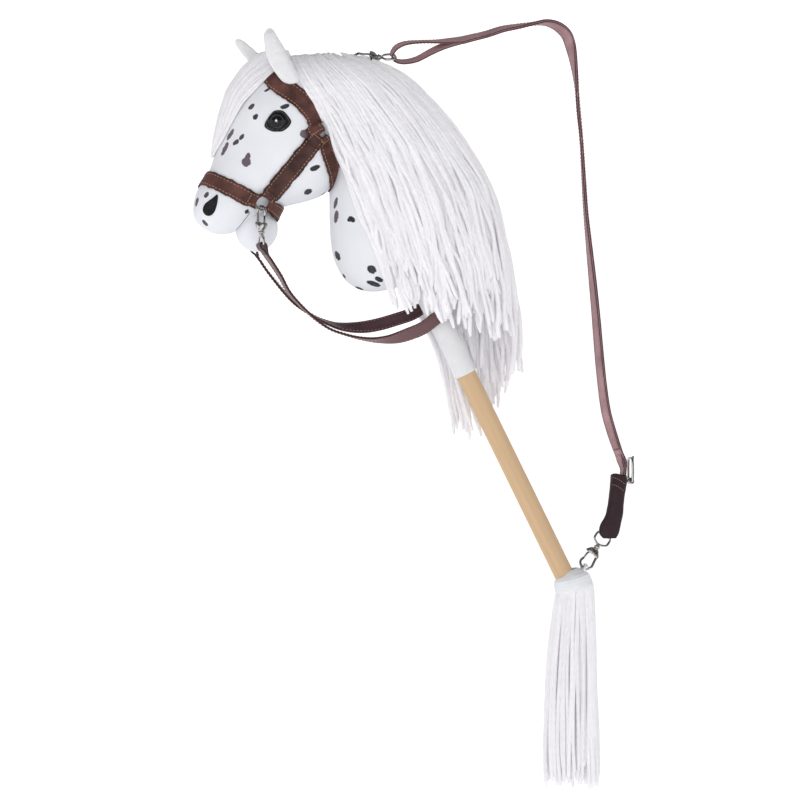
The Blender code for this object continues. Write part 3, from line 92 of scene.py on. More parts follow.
# Materials
class Paint:
    """A material with one Principled shader, and short calls that add nodes to it."""

    def __init__(self, name, colour, roughness, metallic=0.0, **sockets):
        self.material = bpy.data.materials.new(name)
        self.material.use_nodes = True
        self.tree = self.material.node_tree
        self.shader = self.tree.nodes["Principled BSDF"]
        self.shader.inputs["Base Color"].default_value = (*colour, 1.0)
        self.shader.inputs["Roughness"].default_value = roughness
        self.shader.inputs["Metallic"].default_value = metallic
        for socket, value in sockets.items():
            self.shader.inputs[socket.replace("_", " ")].default_value = value
        self.material.diffuse_color = (*colour, 1.0)
        self.last_bump = None

    def add(self, kind, settings=None, **inputs):
        """A node; inputs are values or other nodes' outputs, by socket name or number."""
        node = self.tree.nodes.new(kind)
        for key, value in (settings or {}).items():
            setattr(node, key, value)
        for key, value in inputs.items():
            self.set(node, int(key[1:]) if key.startswith("_") else key.replace("_", " "), value)
        return node

    def set(self, node, socket, value):
        if isinstance(value, bpy.types.NodeSocket):
            self.tree.links.new(value, node.inputs[socket])
        else:
            node.inputs[socket].default_value = value

    def place(self, kind="Object"):
        return self.add("ShaderNodeTexCoord").outputs[kind]

    def scaled(self, vector, scale, turn=(0, 0, 0)):
        return self.add("ShaderNodeMapping", Vector=vector, Scale=scale, Rotation=turn).outputs["Vector"]

    def noise(self, vector, scale, detail=3.0, roughness=0.55):
        return self.add("ShaderNodeTexNoise", Vector=vector, Scale=scale, Detail=detail,
                        Roughness=roughness).outputs["Fac"]

    def ramp(self, value, low, high, to_low=0.0, to_high=1.0):
        return self.add("ShaderNodeMapRange", Value=value, From_Min=low, From_Max=high, To_Min=to_low,
                        To_Max=to_high).outputs["Result"]

    def math(self, operation, a, b=0.0):
        return self.add("ShaderNodeMath", {"operation": operation}, _0=a, _1=b).outputs[0]

    def sum_of(self, a, share_a, b, share_b):
        """Two values, each times its share, added."""
        return self.math("ADD", self.math("MULTIPLY", a, share_a), self.math("MULTIPLY", b, share_b))

    def cells(self, vector, scale):
        """The rounded cells of a leather's grain."""
        return self.add("ShaderNodeTexVoronoi", {"feature": "SMOOTH_F1"}, Vector=vector,
                        Scale=scale).outputs["Distance"]

    def distance(self, points):
        """How far away the nearest of some points is."""
        nearest = None
        for point in points:
            away = self.add("ShaderNodeVectorMath", {"operation": "DISTANCE"}, _0=self.place(),
                            _1=point).outputs["Value"]
            nearest = away if nearest is None else self.math("MINIMUM", nearest, away)
        return nearest

    def mix(self, factor, a, b):
        node = self.add("ShaderNodeMix", {"data_type": "RGBA"})
        self.set(node, 0, factor)
        for slot, value in ((6, a), (7, b)):
            self.set(node, slot, (*value, 1.0) if isinstance(value, tuple) and len(value) == 3 else value)
        return node.outputs[2]

    def colour(self, value):
        self.set(self.shader, "Base Color", value)

    def bump(self, height, strength, distance):
        node = self.add("ShaderNodeBump", Height=height, Strength=strength, Distance=distance)
        if self.last_bump is not None:
            self.set(node, "Normal", self.last_bump)
        self.last_bump = node.outputs["Normal"]
        self.set(self.shader, "Normal", self.last_bump)


# Pieces
def piece(name, mesh, material, body=BODY, replaced=()):
    """Puts a mesh into the scene as a piece that rides on a body."""
    made = bpy.data.objects.new(name, mesh)
    bpy.context.scene.collection.objects.link(made)
    mesh.materials.clear()
    mesh.materials.append(material)
    mesh.shade_smooth()
    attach(made, body)
    if replaced:
        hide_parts(*replaced)


def mesh_of(name, points, faces, uvs=None):
    mesh = bpy.data.meshes.new(name)
    mesh.from_pydata([tuple(p) for p in points], [], faces)
    if uvs is not None:
        layer = mesh.uv_layers.new(name="along")
        loops = np.empty(len(mesh.loops), dtype=np.int32)
        mesh.loops.foreach_get("vertex_index", loops)
        layer.data.foreach_set("uv", np.asarray(uvs, dtype=np.float32)[loops].ravel())
    return mesh


def smoothed(mesh, levels):
    """The mesh that Subdivision Surface makes of a coarse one."""
    source = bpy.data.objects.new("cage", mesh)
    bpy.context.scene.collection.objects.link(source)
    modifier = source.modifiers.new("smooth", "SUBSURF")
    modifier.levels = levels
    modifier.render_levels = levels
    graph = bpy.context.evaluated_depsgraph_get()
    made = bpy.data.meshes.new_from_object(source.evaluated_get(graph), depsgraph=graph)
    bpy.data.objects.remove(source, do_unlink=True)
    return made


def outward(mesh):
    """Turns the faces of a mesh so that they look out of it."""
    bm = bmesh.new()
    bm.from_mesh(mesh)
    bmesh.ops.recalc_face_normals(bm, faces=bm.faces)
    bm.to_mesh(mesh)
    bm.free()
    return mesh


def around(count):
    """The angles of evenly many steps round a circle."""
    return [2 * math.pi * k / count for k in range(count)]


def circle(place, radius, height, count):
    """Points round the z axis of a frame."""
    return [place @ Vector((radius * math.cos(a), radius * math.sin(a), height)) for a in around(count)]


def neighbours(items, i):
    """The items before and after one, or it where there is none."""
    return items[max(i - 1, 0)], items[min(i + 1, len(items) - 1)]


def quads(rings, count, start=0):
    """The faces between rings of equally many points."""
    faces = []
    for here in range(start, start + (rings - 1) * count, count):
        for i in range(count):
            j = (i + 1) % count
            faces.append((here + i, here + j, here + count + j, here + count + i))
    return faces


def loft(name, rings, closed=True):
    """A mesh through rings of equally many points, closed at both ends."""
    count = len(rings[0])
    points = [point for ring in rings for point in ring]
    faces = quads(len(rings), count)
    if closed:
        faces.append(tuple(range(count))[::-1])
        faces.append(tuple(range((len(rings) - 1) * count, len(rings) * count)))
    return outward(mesh_of(name, points, faces))


def smooth_path(points, count):
    """Evenly many points on a smooth curve through the given ones (Catmull-Rom)."""
    made = []
    spans = len(points) - 1
    for i in range(count):
        at = i * spans / (count - 1)
        k = min(int(at), spans - 1)
        t = at - k
        a, b, c, d = points[max(k - 1, 0)], points[k], points[k + 1], points[min(k + 2, spans)]
        made.append(0.5 * (2 * b + (c - a) * t + (2 * a - 5 * b + 4 * c - d) * t * t
                           + (3 * b - a - 3 * c + d) * t * t * t))
    return made


# Plush forms: head, neck and lower jaw
RING_POINTS = 12
FULLNESS = 0.88         # below 1 the sides are fuller than an oval's
HEAD_HALF = 98.0        # millimetres, the widths that the rings' shares are of
NECK_HALF = 114.0
CAGE_SWELL = 1.05       # what the subdivision draws in
# Head rings from the muzzle to the poll: top (x, z), bottom (x, z), share of the width
HEAD_RINGS = [
    ((-360, 303), (-361, 287), 0.10), ((-356, 315), (-357, 278), 0.26), ((-349, 325), (-346, 268), 0.34),
    ((-341, 338), (-326, 262), 0.37), ((-335, 358), (-302, 274), 0.39), ((-328, 382), (-277, 292), 0.42),
    ((-318, 405), (-252, 299), 0.45), ((-303, 427), (-228, 304), 0.49), ((-283, 446), (-207, 317), 0.50),
    ((-258, 457), (-195, 341), 0.48), ((-233, 458), (-190, 370), 0.42), ((-211, 448), (-189, 398), 0.29),
    ((-201, 436), (-191, 416), 0.12),
]
# Neck rings from the top down, in the stick's measures: front (up, forward), back (up, forward)
NECK_RINGS = [
    ((477, 18), (483, -16), 0.16), ((470, 29), (484, -35), 0.30), ((441, 28), (447, -65), 0.39),
    ((401, 33), (396, -86), 0.44), ((366, 50), (348, -93), 0.475), ((332, 69), (301, -88), 0.50),
    ((302, 78), (264, -77), 0.49), ((276, 76), (241, -61), 0.44), ((256, 61), (232, -40), 0.33),
    ((248, 38), (236, -18), 0.16),
]
STICK_LEAN = math.radians(26.5)
STICK_UP = Vector((-math.sin(STICK_LEAN), 0, math.cos(STICK_LEAN)))
STICK_FRONT = Vector((-math.cos(STICK_LEAN), 0, -math.sin(STICK_LEAN)))


def on_stick(up, front):
    """A point in millimetres up the stick and in front of its axis."""
    return (STICK_UP * up + STICK_FRONT * front) * MM


def full(value):
    return math.copysign(abs(value) ** FULLNESS, value)


def oval_ring(top, bottom, half_width):
    """A ring of the cage: an oval with full sides that stands on the middle plane."""
    middle = (top + bottom) / 2
    half_height = (top - bottom) / 2
    ring = []
    for i in range(RING_POINTS):
        turn = math.pi / 2 - 2 * math.pi * i / RING_POINTS
        ring.append(middle + half_height * (full(math.sin(turn)) * CAGE_SWELL)
                    + ACROSS * (half_width * full(math.cos(turn)) * CAGE_SWELL))
    return ring


def shaped(mesh, move):
    """Moves every point of a mesh by what move(point, normal) says."""
    mesh.update()
    count = len(mesh.vertices)
    points = np.empty(count * 3)
    mesh.vertices.foreach_get("co", points)
    normals = np.empty(count * 3)
    mesh.vertex_normals.foreach_get("vector", normals)
    for i in range(count):
        at = Vector(points[3 * i:3 * i + 3])
        at += move(at, Vector(normals[3 * i:3 * i + 3]))
        points[3 * i:3 * i + 3] = at
    mesh.vertices.foreach_set("co", points)
    mesh.update()
    return mesh


def tree_of(*meshes):
    points = []
    faces = []
    for mesh in meshes:
        start = len(points)
        points += [v.co.copy() for v in mesh.vertices]
        faces += [tuple(i + start for i in p.vertices) for p in mesh.polygons]
    return BVHTree.FromPolygons(points, faces)


SEAM_DEPTH = 0.0011
SEAM_WIDTH = 0.0016
PUCKER_WIDTH = 0.007
PUCKER_HEIGHT = 0.00028
LUMP_HEIGHT = 0.0012
DIMPLE_HEIGHT = 0.00035
CAGE_LEVELS = 4


def stuffed(at, normal):
    """Soft unevenness of stuffing, and the seam that runs round in the middle plane."""
    swell = noise.noise(at * 26) * LUMP_HEIGHT + noise.noise(at * 70 + Vector((3, 1, 7))) * DIMPLE_HEIGHT
    groove = SEAM_DEPTH * math.exp(-(at.y / SEAM_WIDTH) ** 2)
    pucker = PUCKER_HEIGHT * math.exp(-(at.y / PUCKER_WIDTH) ** 2) * noise.noise(at * 240)
    return normal * (swell - groove + pucker)


head_mesh = smoothed(loft("head_cage", [oval_ring(mm(*top), mm(*bottom), HEAD_HALF * share * MM)
                                        for top, bottom, share in HEAD_RINGS]), CAGE_LEVELS)
neck_mesh = smoothed(loft("neck_cage", [oval_ring(on_stick(*top), on_stick(*bottom), NECK_HALF * share * MM)
                                        for top, bottom, share in NECK_RINGS]), CAGE_LEVELS)
JAW_MIDDLE = mm(-291, 271)
JAW_SIZE = Vector((0.047, 0.050, 0.050))


def ball(name, middle, size):
    """An oval ball with a point at its top and one at its bottom."""
    count, rings = 96, 63
    place = Matrix.Translation(middle) @ Matrix.Diagonal((*size, 1.0))
    points = [place @ Vector((0, 0, 0.5)), place @ Vector((0, 0, -0.5))]
    for i in range(1, rings + 1):
        turn = math.pi * i / (rings + 1)
        points += circle(place, 0.5 * math.sin(turn), 0.5 * math.cos(turn), count)
    low = 2 + (rings - 1) * count
    faces = [(0, 2 + i, 2 + (i + 1) % count) for i in range(count)] + quads(rings, count, 2)
    faces += [(1, low + (i + 1) % count, low + i) for i in range(count)]
    return outward(mesh_of(name, points, faces))


jaw_mesh = ball("jaw", JAW_MIDDLE, JAW_SIZE)
for form in (head_mesh, neck_mesh, jaw_mesh):
    shaped(form, stuffed)
head_tree = tree_of(head_mesh)
body_tree = tree_of(head_mesh, neck_mesh)
plush_tree = tree_of(head_mesh, neck_mesh, jaw_mesh)


def seen_at(px, py, tree=None):
    """The point and the way out of the plush that the photograph shows at a pixel."""
    target = at_pixel(px, py)
    hit, normal, _, _ = (tree or plush_tree).ray_cast(CAMERA_AT, (target - CAMERA_AT).normalized())
    return hit, normal


# The print: pixel, length and width in pixels, degrees from level, tone (0 dark, 1 purple-grey)
SPOTS = [
    (267.0, 90.1, 6.7, 2.6, 25, 0), (251.5, 106.5, 7.8, 4.2, 42, 0.5), (255.5, 116.7, 6.4, 4.7, 60, 0.2),
    (284.9, 106.5, 9.2, 4.8, 18, 0), (230.4, 134.5, 12.8, 4.0, 58, 1), (241.6, 137.0, 7.0, 4.0, 52, 0.4),
    (235.9, 142.4, 7.2, 4.4, 42, 0.4), (224.8, 149.0, 15.0, 4.2, 64, 1), (246.3, 162.0, 9.4, 9.2, 80, 1),
    (247.9, 156.6, 8.0, 5.0, 75, 1), (305.0, 134.0, 9.6, 9.0, 0, 1.3), (315.0, 168.0, 10.8, 5.2, 24, 0),
    (308.1, 191.7, 8.4, 5.0, 25, 0.1), (246.9, 211.6, 5.2, 3.6, 50, 0), (206.5, 194.9, 6.6, 4.2, 60, 0.5),
    (196.8, 201.8, 9.5, 3.6, 74, 0.7), (205.0, 222.8, 7.6, 3.2, -45, 0.4), (335.6, 202.9, 11.5, 3.9, 76, 1),
    (336.2, 216.6, 13.0, 4.6, 82, 1), (350.0, 219.0, 6.6, 4.8, 50, 0), (352.4, 219.4, 6.8, 4.6, -50, 0),
    (337.4, 255.7, 10.5, 5.0, -64, 0.1), (344.0, 276.1, 5.4, 2.2, -58, 0), (371.7, 269.5, 9.8, 7.8, -35, 0.1),
    (379.0, 279.4, 9.0, 5.0, -25, 0), (373.7, 283.8, 15.0, 4.6, -18, 0), (359.3, 288.6, 9.0, 3.0, -20, 0),
]
# The far side's print, in millimetres in the horse's plane: x, z, length, width, degrees, tone
FAR_SPOTS = [
    (-300, 415, 9, 5, -40, 0.4), (-318, 398, 7, 5, -60, 0.2), (-262, 405, 10, 6, -20, 0),
    (-331, 366, 13, 5, -60, 1), (-312, 356, 8, 5, -45, 0.4), (-300, 340, 10, 9, -80, 1),
    (-322, 342, 8, 5, -50, 0.4), (-240, 392, 10, 10, 0, 1.3), (-226, 345, 12, 6, -25, 0),
    (-243, 318, 9, 6, -25, 0.1), (-296, 308, 6, 4, -50, 0), (-352, 308, 8, 4, -70, 0.6),
    (-344, 276, 8, 4, 45, 0.4), (-268, 344, 7, 5, 30, 0.2), (-196, 300, 13, 5, -75, 1),
    (-180, 282, 9, 7, 40, 0), (-196, 258, 11, 6, 60, 0.1), (-160, 240, 12, 8, 30, 0.1),
    (-150, 262, 10, 6, 10, 0), (-172, 222, 12, 5, 20, 0), (-122, 300, 11, 7, 50, 1),
    (-100, 332, 9, 6, -30, 0.2),
]
# Printed on the front of the face and neck, in millimetres: x, z, y, length, width, tone
FRONT_SPOTS = [
    (-345, 352, 6, 8, 4, 0.6), (-352, 325, -7, 6, 4, 0.3), (-200, 262, 8, 9, 5, 0.2),
    (-196, 300, -6, 8, 5, 1),
]
PRINT_DEPTH = 0.012     # half of how deep the ink of a spot on the sides reaches
FRONT_PRINT_DEPTH = 0.01


def spot_frames():
    """Every printed spot as its middle, the ways along and into it, its half sizes in metres and its tone."""
    made = []
    for px, py, length, width, turn, tone in SPOTS:
        hit, _ = seen_at(px, py)
        angle = math.radians(turn)
        along = VIEW_RIGHT * math.cos(angle) + UP * math.sin(angle)
        made.append((hit, along, VIEW_AHEAD, (length * PIXEL / 2, width * PIXEL / 2, PRINT_DEPTH), tone))
    for x, z, length, width, turn, tone in FAR_SPOTS:
        hit, _, _, _ = body_tree.ray_cast(mm(x, z, OUTSIDE), -ACROSS)
        angle = math.radians(turn)
        along = Vector((math.cos(angle), 0, math.sin(angle)))
        made.append((hit, along, ACROSS, (length * MM / 2, width * MM / 2, PRINT_DEPTH), tone))
    for x, z, y, length, width, tone in FRONT_SPOTS:
        hit, normal, _, _ = body_tree.ray_cast(mm(x - 60, z + 30, y), Vector((0.9, 0, -0.45)).normalized())
        made.append((hit, UP, normal, (length * MM / 2, width * MM / 2, FRONT_PRINT_DEPTH), tone))
    return [spot for spot in made if spot[0] is not None]


def plush_paint():
    paint = Paint("plush", PLUSH_WHITE, 0.9, Sheen_Weight=0.08, Sheen_Roughness=0.5, Specular_IOR_Level=0.2)
    place = paint.place()
    wobble = paint.add("ShaderNodeTexNoise", Vector=place, Scale=330.0, Detail=2.0).outputs["Color"]
    shift = paint.add("ShaderNodeVectorMath", {"operation": "MULTIPLY_ADD"}, _0=wobble,
                      _1=(0.0022, 0.0022, 0.0022), _2=(-0.0011, -0.0011, -0.0011)).outputs[0]
    inked = paint.add("ShaderNodeVectorMath", {"operation": "ADD"}, _0=place, _1=shift).outputs[0]
    cover = None
    tone_of = None
    for middle, along, deep, halves, tone in spot_frames():
        z = deep.normalized()
        x = (along - z * along.dot(z)).normalized()
        turn = Matrix((x, z.cross(x), z)).transposed().to_euler("XYZ")
        local = paint.add("ShaderNodeMapping", {"vector_type": "TEXTURE"}, Vector=inked, Location=middle,
                          Rotation=turn, Scale=halves).outputs["Vector"]
        far = paint.add("ShaderNodeVectorMath", {"operation": "LENGTH"}, _0=local).outputs["Value"]
        inside = paint.ramp(far, 1.06, 0.90)
        share = paint.math("MULTIPLY", inside, tone + 1.0)
        cover = inside if cover is None else paint.math("MAXIMUM", cover, inside)
        tone_of = share if tone_of is None else paint.math("MAXIMUM", tone_of, share)
    dark = paint.mix(paint.ramp(tone_of, 1.0, 2.3), (0.016, 0.014, 0.022), (0.150, 0.105, 0.130))
    grain = paint.noise(place, 900.0, 4.0)
    worn = paint.math("MULTIPLY", cover, paint.ramp(grain, 0.25, 0.6, 0.90, 1.0))
    cloudy = paint.noise(place, 14.0, 3.0)
    white = paint.mix(paint.ramp(cloudy, 0.3, 0.7), PLUSH_WHITE, PLUSH_COOL)
    paint.colour(paint.mix(worn, white, dark))
    paint.bump(grain, 0.35, 0.0006)
    paint.bump(paint.noise(place, 2600.0, 2.0), 0.3, 0.0003)
    return paint.material


PLUSH_WHITE = (0.80, 0.815, 0.85)
PLUSH_COOL = (0.76, 0.77, 0.82)
plush = plush_paint()
piece("head_plush", head_mesh, plush, replaced=("head",))
piece("neck_plush", neck_mesh, plush, replaced=("neck",))
piece("jaw_plush", jaw_mesh, plush, replaced=("lower_jaw",))


# Yarn: many strands in one mesh
def strands(name, paths, radii, material, replaced=(), sides=7, reference=(1.0, 0.0, 0.15),
            end_share=0.55, root_share=1.0):
    """Tubes along paths of equally many points; the texture's u carries each strand's number."""
    paths = np.asarray(paths, dtype=float)
    strand_count, steps, _ = paths.shape
    tangents = np.gradient(paths, axis=1)
    tangents /= np.linalg.norm(tangents, axis=2, keepdims=True) + 1e-12
    reference = np.asarray(reference, dtype=float)
    side = reference - tangents * (tangents @ reference)[..., None]
    side /= np.linalg.norm(side, axis=2, keepdims=True) + 1e-12
    other = np.cross(tangents, side)
    turns = np.linspace(0, 2 * math.pi, sides + 1)
    swell = np.interp(np.linspace(0, 1, steps), [0, 0.6, 1], [root_share, 1, 1])
    swell[-1] = end_share
    swell[0] *= end_share
    radius = np.asarray(radii, dtype=float)[:, None] * swell[None, :]
    ring = (side[:, :, None, :] * np.cos(turns)[None, None, :, None]
            + other[:, :, None, :] * np.sin(turns)[None, None, :, None])
    points = paths[:, :, None, :] + ring * radius[:, :, None, None]
    lengths = np.concatenate([np.zeros((strand_count, 1)),
                              np.cumsum(np.linalg.norm(np.diff(paths, axis=1), axis=2), axis=1)], axis=1)
    u = np.arange(strand_count)[:, None, None] + turns[None, None, :] / (2 * math.pi)
    u = np.broadcast_to(u, (strand_count, steps, sides + 1))
    v = np.broadcast_to(lengths[:, :, None], u.shape)
    width = sides + 1
    start = (np.arange(strand_count) * steps * width)[:, None, None]
    row = (np.arange(steps - 1) * width)[None, :, None]
    column = np.arange(sides)[None, None, :]
    corner = start + row + column
    quads = np.stack([corner, corner + 1, corner + 1 + width, corner + width], axis=-1).reshape(-1, 4)
    first = start[:, 0, 0][:, None]
    caps = np.concatenate([(first + np.arange(sides)[None, ::-1]),
                           (first + (steps - 1) * width + np.arange(sides)[None, :])])
    mesh = bpy.data.meshes.new(name)
    flat = points.reshape(-1, 3)
    mesh.vertices.add(len(flat))
    mesh.vertices.foreach_set("co", flat.ravel())
    loops = np.concatenate([quads.ravel(), caps.ravel()]).astype(np.int32)
    mesh.loops.add(len(loops))
    mesh.loops.foreach_set("vertex_index", loops)
    totals = np.concatenate([np.full(len(quads), 4), np.full(len(caps), sides)]).astype(np.int32)
    starts = np.concatenate([[0], np.cumsum(totals)[:-1]]).astype(np.int32)
    mesh.polygons.add(len(totals))
    mesh.polygons.foreach_set("loop_start", starts)
    mesh.polygons.foreach_set("loop_total", totals)
    mesh.update(calc_edges=True)
    layer = mesh.uv_layers.new(name="along")
    uv = np.stack([u.ravel(), v.ravel()], axis=-1)[loops]
    layer.data.foreach_set("uv", uv.astype(np.float32).ravel())
    mesh.validate()
    piece(name, mesh, material, replaced=replaced)


def yarn_paint(name, white, shadow):
    """Loosely twisted yarn: each strand has its own tone, plies and a fine fuzz, and a faint white glow that
    is painted light, brightening strands in shade.
    """
    # Painted light: a faint white emission lifts the yarn where the strands shade each other
    paint = Paint(name, white, 0.9, Sheen_Weight=0.35, Sheen_Roughness=0.6, Emission_Color=(1, 0.985, 1, 1),
                  Emission_Strength=0.05)
    along = paint.place("UV")
    parts = paint.add("ShaderNodeSeparateXYZ", Vector=along)
    number = paint.math("FLOOR", parts.outputs[0])
    tone = paint.add("ShaderNodeTexWhiteNoise", {"noise_dimensions": "1D"}, W=number).outputs["Value"]
    cloud = paint.noise(paint.place(), 60.0, 2.0)
    paint.colour(paint.mix(paint.ramp(paint.sum_of(tone, 0.6, cloud, 0.5), 0.15, 1.0), white, shadow))
    plies = paint.sum_of(parts.outputs[0], 2.0, parts.outputs[1], 1 / PLY_PITCH)
    wave = paint.math("SINE", paint.math("MULTIPLY", plies, 2 * math.pi))
    paint.bump(wave, 0.35, 0.0005)
    fuzz = paint.noise(paint.scaled(paint.place(), (900, 900, 260)), 1.0, 3.0)
    paint.bump(fuzz, 0.5, 0.0005)
    return paint.material


PLY_PITCH = 0.009
YARN_WHITE = (0.885, 0.87, 0.90)
YARN_SHADOW = (0.76, 0.745, 0.785)
YARN_DEEPER_SHADE = (0.64, 0.625, 0.675)
yarn = yarn_paint("yarn", YARN_WHITE, YARN_SHADOW)
# A darker copy of the yarn for the mane's inside: painted shade
shaded_yarn = yarn_paint("yarn_in_shade", YARN_SHADOW, YARN_DEEPER_SHADE)
draw = random.Random(7)
STRAND_STEPS = 40


def path_array(rows):
    return np.array(smooth_path([Vector((*row, 0.0)) for row in rows], STRAND_STEPS))


# The mane's falls in pixels: the front edge and the rear edge from root to tip
NEAR_FRONT = path_array([(291, 57), (302, 80), (320, 112), (337, 148), (353, 186), (369, 226), (387, 268),
                         (401, 312)])
NEAR_REAR = path_array([(356, 54), (396, 69.5), (429, 97), (464, 140), (492, 193), (506, 250), (511, 300),
                        (514, 345)])
FAR_FRONT = path_array([(290, 60), (300, 95), (314, 140), (334, 180), (362, 222), (398, 272), (434, 332),
                        (450, 388), (455, 440)])
FAR_REAR = path_array([(356, 54), (396, 70), (430, 98), (465, 142), (494, 195), (508, 255), (517, 315),
                       (519, 378)])
# How far out of the middle plane the outer strands lie, in millimetres at places along a strand, and the
# share of it at places across the fall from front to rear
DOWN_FALL = [0.0, 0.03, 0.08, 0.16, 0.30, 0.45, 0.60, 0.75, 1.0]
OUT_NEAR = (DOWN_FALL, [8, 22, 38, 50, 58, 64, 67, 67, 63])
OUT_FAR = (DOWN_FALL, [8, 22, 38, 50, 58, 64, 65, 52, 30])
OUT_ACROSS = ([0.0, 0.1, 0.3, 0.55, 0.72, 0.86, 0.94, 1.0], [0.84, 0.95, 1.0, 1.0, 0.90, 0.66, 0.40, 0.10])
SKIN_MARGIN = 0.0022
LOCKS = 21              # the locks that a fall's strands gather into towards their tips
GATHER = 0.30           # how far a strand leans over to its lock by the tip
LAYER_DEPTH = 3.4       # millimetres from one layer of strands to the next one in
TIP_DROP = 250          # pixels per share of its length that a strand runs on below the fall's edges


def skin_depth(x, z, side):
    """How far out of the middle plane the plush reaches at a place, or None beside it."""
    hit, _, _, _ = body_tree.ray_cast(Vector((x, side * OUTSIDE * MM, z)), ACROSS * -side)
    return None if hit is None else abs(hit.y)


def fall_point(side, front, rear, at, across, out, sideways=0.0, down=0.0, clear=True):
    """A place in a fall, as shares of the way along and across it; out in millimetres, clear of the plush."""
    position = min(max(at, 0.0), 1.0) * (STRAND_STEPS - 1)
    low = min(int(position), STRAND_STEPS - 2)
    part = position - low
    edge = [side_edge[low] * (1 - part) + side_edge[low + 1] * part for side_edge in (front, rear)]
    pixel = edge[0] * (1 - across) + edge[1] * across
    px, py = pixel[0] + sideways, pixel[1] + max(at - 1.0, 0.0) * TIP_DROP + down
    point = at_pixel(px, py, side * out)
    deep = skin_depth(point.x, point.z, side)
    if clear and deep is not None and out * MM < deep + SKIN_MARGIN:
        point = at_pixel(px, py, side * (deep + SKIN_MARGIN) / MM)
    return point


def fall(side, front, rear, out_along, reach_across, count, layer, length, spread, seed):
    """Paths of one layer of the mane on one side, drawn from a generator of their own."""
    local = random.Random(seed)
    locks = [(k + local.uniform(0.2, 0.8)) / LOCKS for k in range(LOCKS)]
    reaches = [local.uniform(*length) for _ in locks]
    lifts = [local.uniform(-1.2, 1.6) for _ in locks]
    paths = []
    for k in range(count):
        s = (k + 0.5 + local.uniform(-0.45, 0.45)) / count
        lock = min(range(LOCKS), key=lambda i: abs(locks[i] - s + 0.02 * math.sin(40 * s + i)))
        lag = local.uniform(0.0, 0.16) * s ** 1.5
        reach = reaches[lock] - 0.7 * abs(locks[lock] - s) + local.uniform(-0.05, 0.03)
        reach = reach * np.interp(s, *reach_across)
        waves = [local.uniform(0, 6.28) for _ in range(4)]
        drift = local.gauss(0, 1)
        made = []
        for v in np.linspace(0, 1, STRAND_STEPS):
            at = lag + v * (reach - lag)
            across = s + (locks[lock] - s) * GATHER * v ** 1.6
            across = min(max(across + 0.02 * math.sin(3.1 * v + 9 * s + seed) * v, 0.0), 1.0)
            out = np.interp(at, *out_along) * np.interp(across, *OUT_ACROSS)
            out += (lifts[lock] * v - layer * LAYER_DEPTH * min(1.0, v * 5 + 0.2)
                    + 1.1 * math.sin(13 * v + waves[1]) * v)
            sideways = (drift * spread * v ** 2 + 3.2 * math.sin(9 * v + waves[0]) * v
                        + 2.1 * math.sin(23 * v + waves[2]) * v ** 0.5
                        + 1.2 * math.sin(46 * v + waves[3]) * v ** 0.7)
            sideways = max(min(sideways, (1 - across) * 90 + 2 * math.sin(5 * v + waves[0])),
                           -across * 70 - 3 + 2 * math.sin(6 * v + waves[1]))
            crest = -max(0.0, 1 - at * 9) * (0.8 + 2.4 * math.sin(math.pi * across)) + layer * 0.8
            made.append(fall_point(side, front, rear, at, across, max(out, 0.8), sideways, crest))
        paths.append(relaxed(np.array(made), 2))
    return paths


def relaxed(path, times=3):
    for _ in range(times):
        path[1:-1] = path[1:-1] * 0.5 + (path[:-2] + path[2:]) * 0.25
    return path


def mane(name, side, front, rear, out_along, reach_across, layers, replaced, seed):
    paths = []
    radii = []
    for layer, (count, length, spread) in enumerate(layers):
        made = fall(side, front, rear, out_along, reach_across, count, layer, length, spread, seed + layer)
        paths += made
        radii += [YARN_RADIUS * draw.uniform(0.84, 1.16) for _ in made]
    strands(name, paths, radii, yarn, (replaced,), root_share=0.66)


CORE_DEPTHS = (10.0, 18.0)  # millimetres in from the outer strands, of its two faces
CORE_MARGIN = 0.03
CORE_WIDTH = 0.93


def mane_core(name, side, front, rear, out_along, foot):
    """The dense inside of a fall, ribbed like the strands that lie on it, in the darker copy of the yarn:
    painted shade.
    """
    rows, columns = 26, 30
    points = []
    for depth in CORE_DEPTHS:
        for i in range(rows):
            v = CORE_MARGIN + (foot - CORE_MARGIN) * i / (rows - 1)
            for j in range(columns):
                s = CORE_MARGIN + CORE_WIDTH * j / (columns - 1)
                out = np.interp(v, *out_along) * np.interp(s, *OUT_ACROSS) - depth
                points.append(fall_point(side, front, rear, v, s, max(out, 0.6), clear=False))
    block = rows * columns
    faces = []
    for i in range(rows - 1):
        for j in range(columns - 1):
            a = i * columns + j
            quad = (a, a + 1, a + 1 + columns, a + columns)
            faces.append(quad)
            faces.append(tuple(block + k for k in quad[::-1]))
    rim = (list(range(columns)) + [i * columns + columns - 1 for i in range(1, rows)]
           + [(rows - 1) * columns + j for j in range(columns - 2, -1, -1)]
           + [i * columns for i in range(rows - 2, 0, -1)])
    for a, b in zip(rim, rim[1:] + rim[:1]):
        faces.append((b, a, a + block, b + block))
    uvs = [(60 + 74 * (k % columns) / (columns - 1), 0.3 * (k % block) / block) for k in range(2 * block)]
    piece(name, mesh_of(name, points, faces, uvs), shaded_yarn)


YARN_RADIUS = 0.0025
mane("mane_strands_left", LEFT, NEAR_FRONT, NEAR_REAR, OUT_NEAR,
     ([0, 0.08, 0.16, 0.34, 0.42, 0.7, 1.0], [1.0, 0.99, 0.94, 0.93, 0.98, 0.97, 0.96]),
     [(50, (0.89, 1.02), 5.5), (54, (0.87, 1.03), 6.5), (56, (0.85, 1.04), 7.0), (50, (0.82, 1.02), 8.0)],
     "mane_left", 11)
mane("mane_strands_right", RIGHT, FAR_FRONT, FAR_REAR, OUT_FAR, ([0, 1.0], [1.0, 1.0]),
     [(50, (0.84, 1.0), 5.5), (54, (0.82, 1.02), 6.5), (56, (0.80, 1.03), 7.0), (50, (0.77, 1.0), 8.0)],
     "mane_right", 31)
mane_core("mane_core_left", LEFT, NEAR_FRONT, NEAR_REAR, OUT_NEAR, 0.86)
mane_core("mane_core_right", RIGHT, FAR_FRONT, FAR_REAR, OUT_FAR, 0.78)

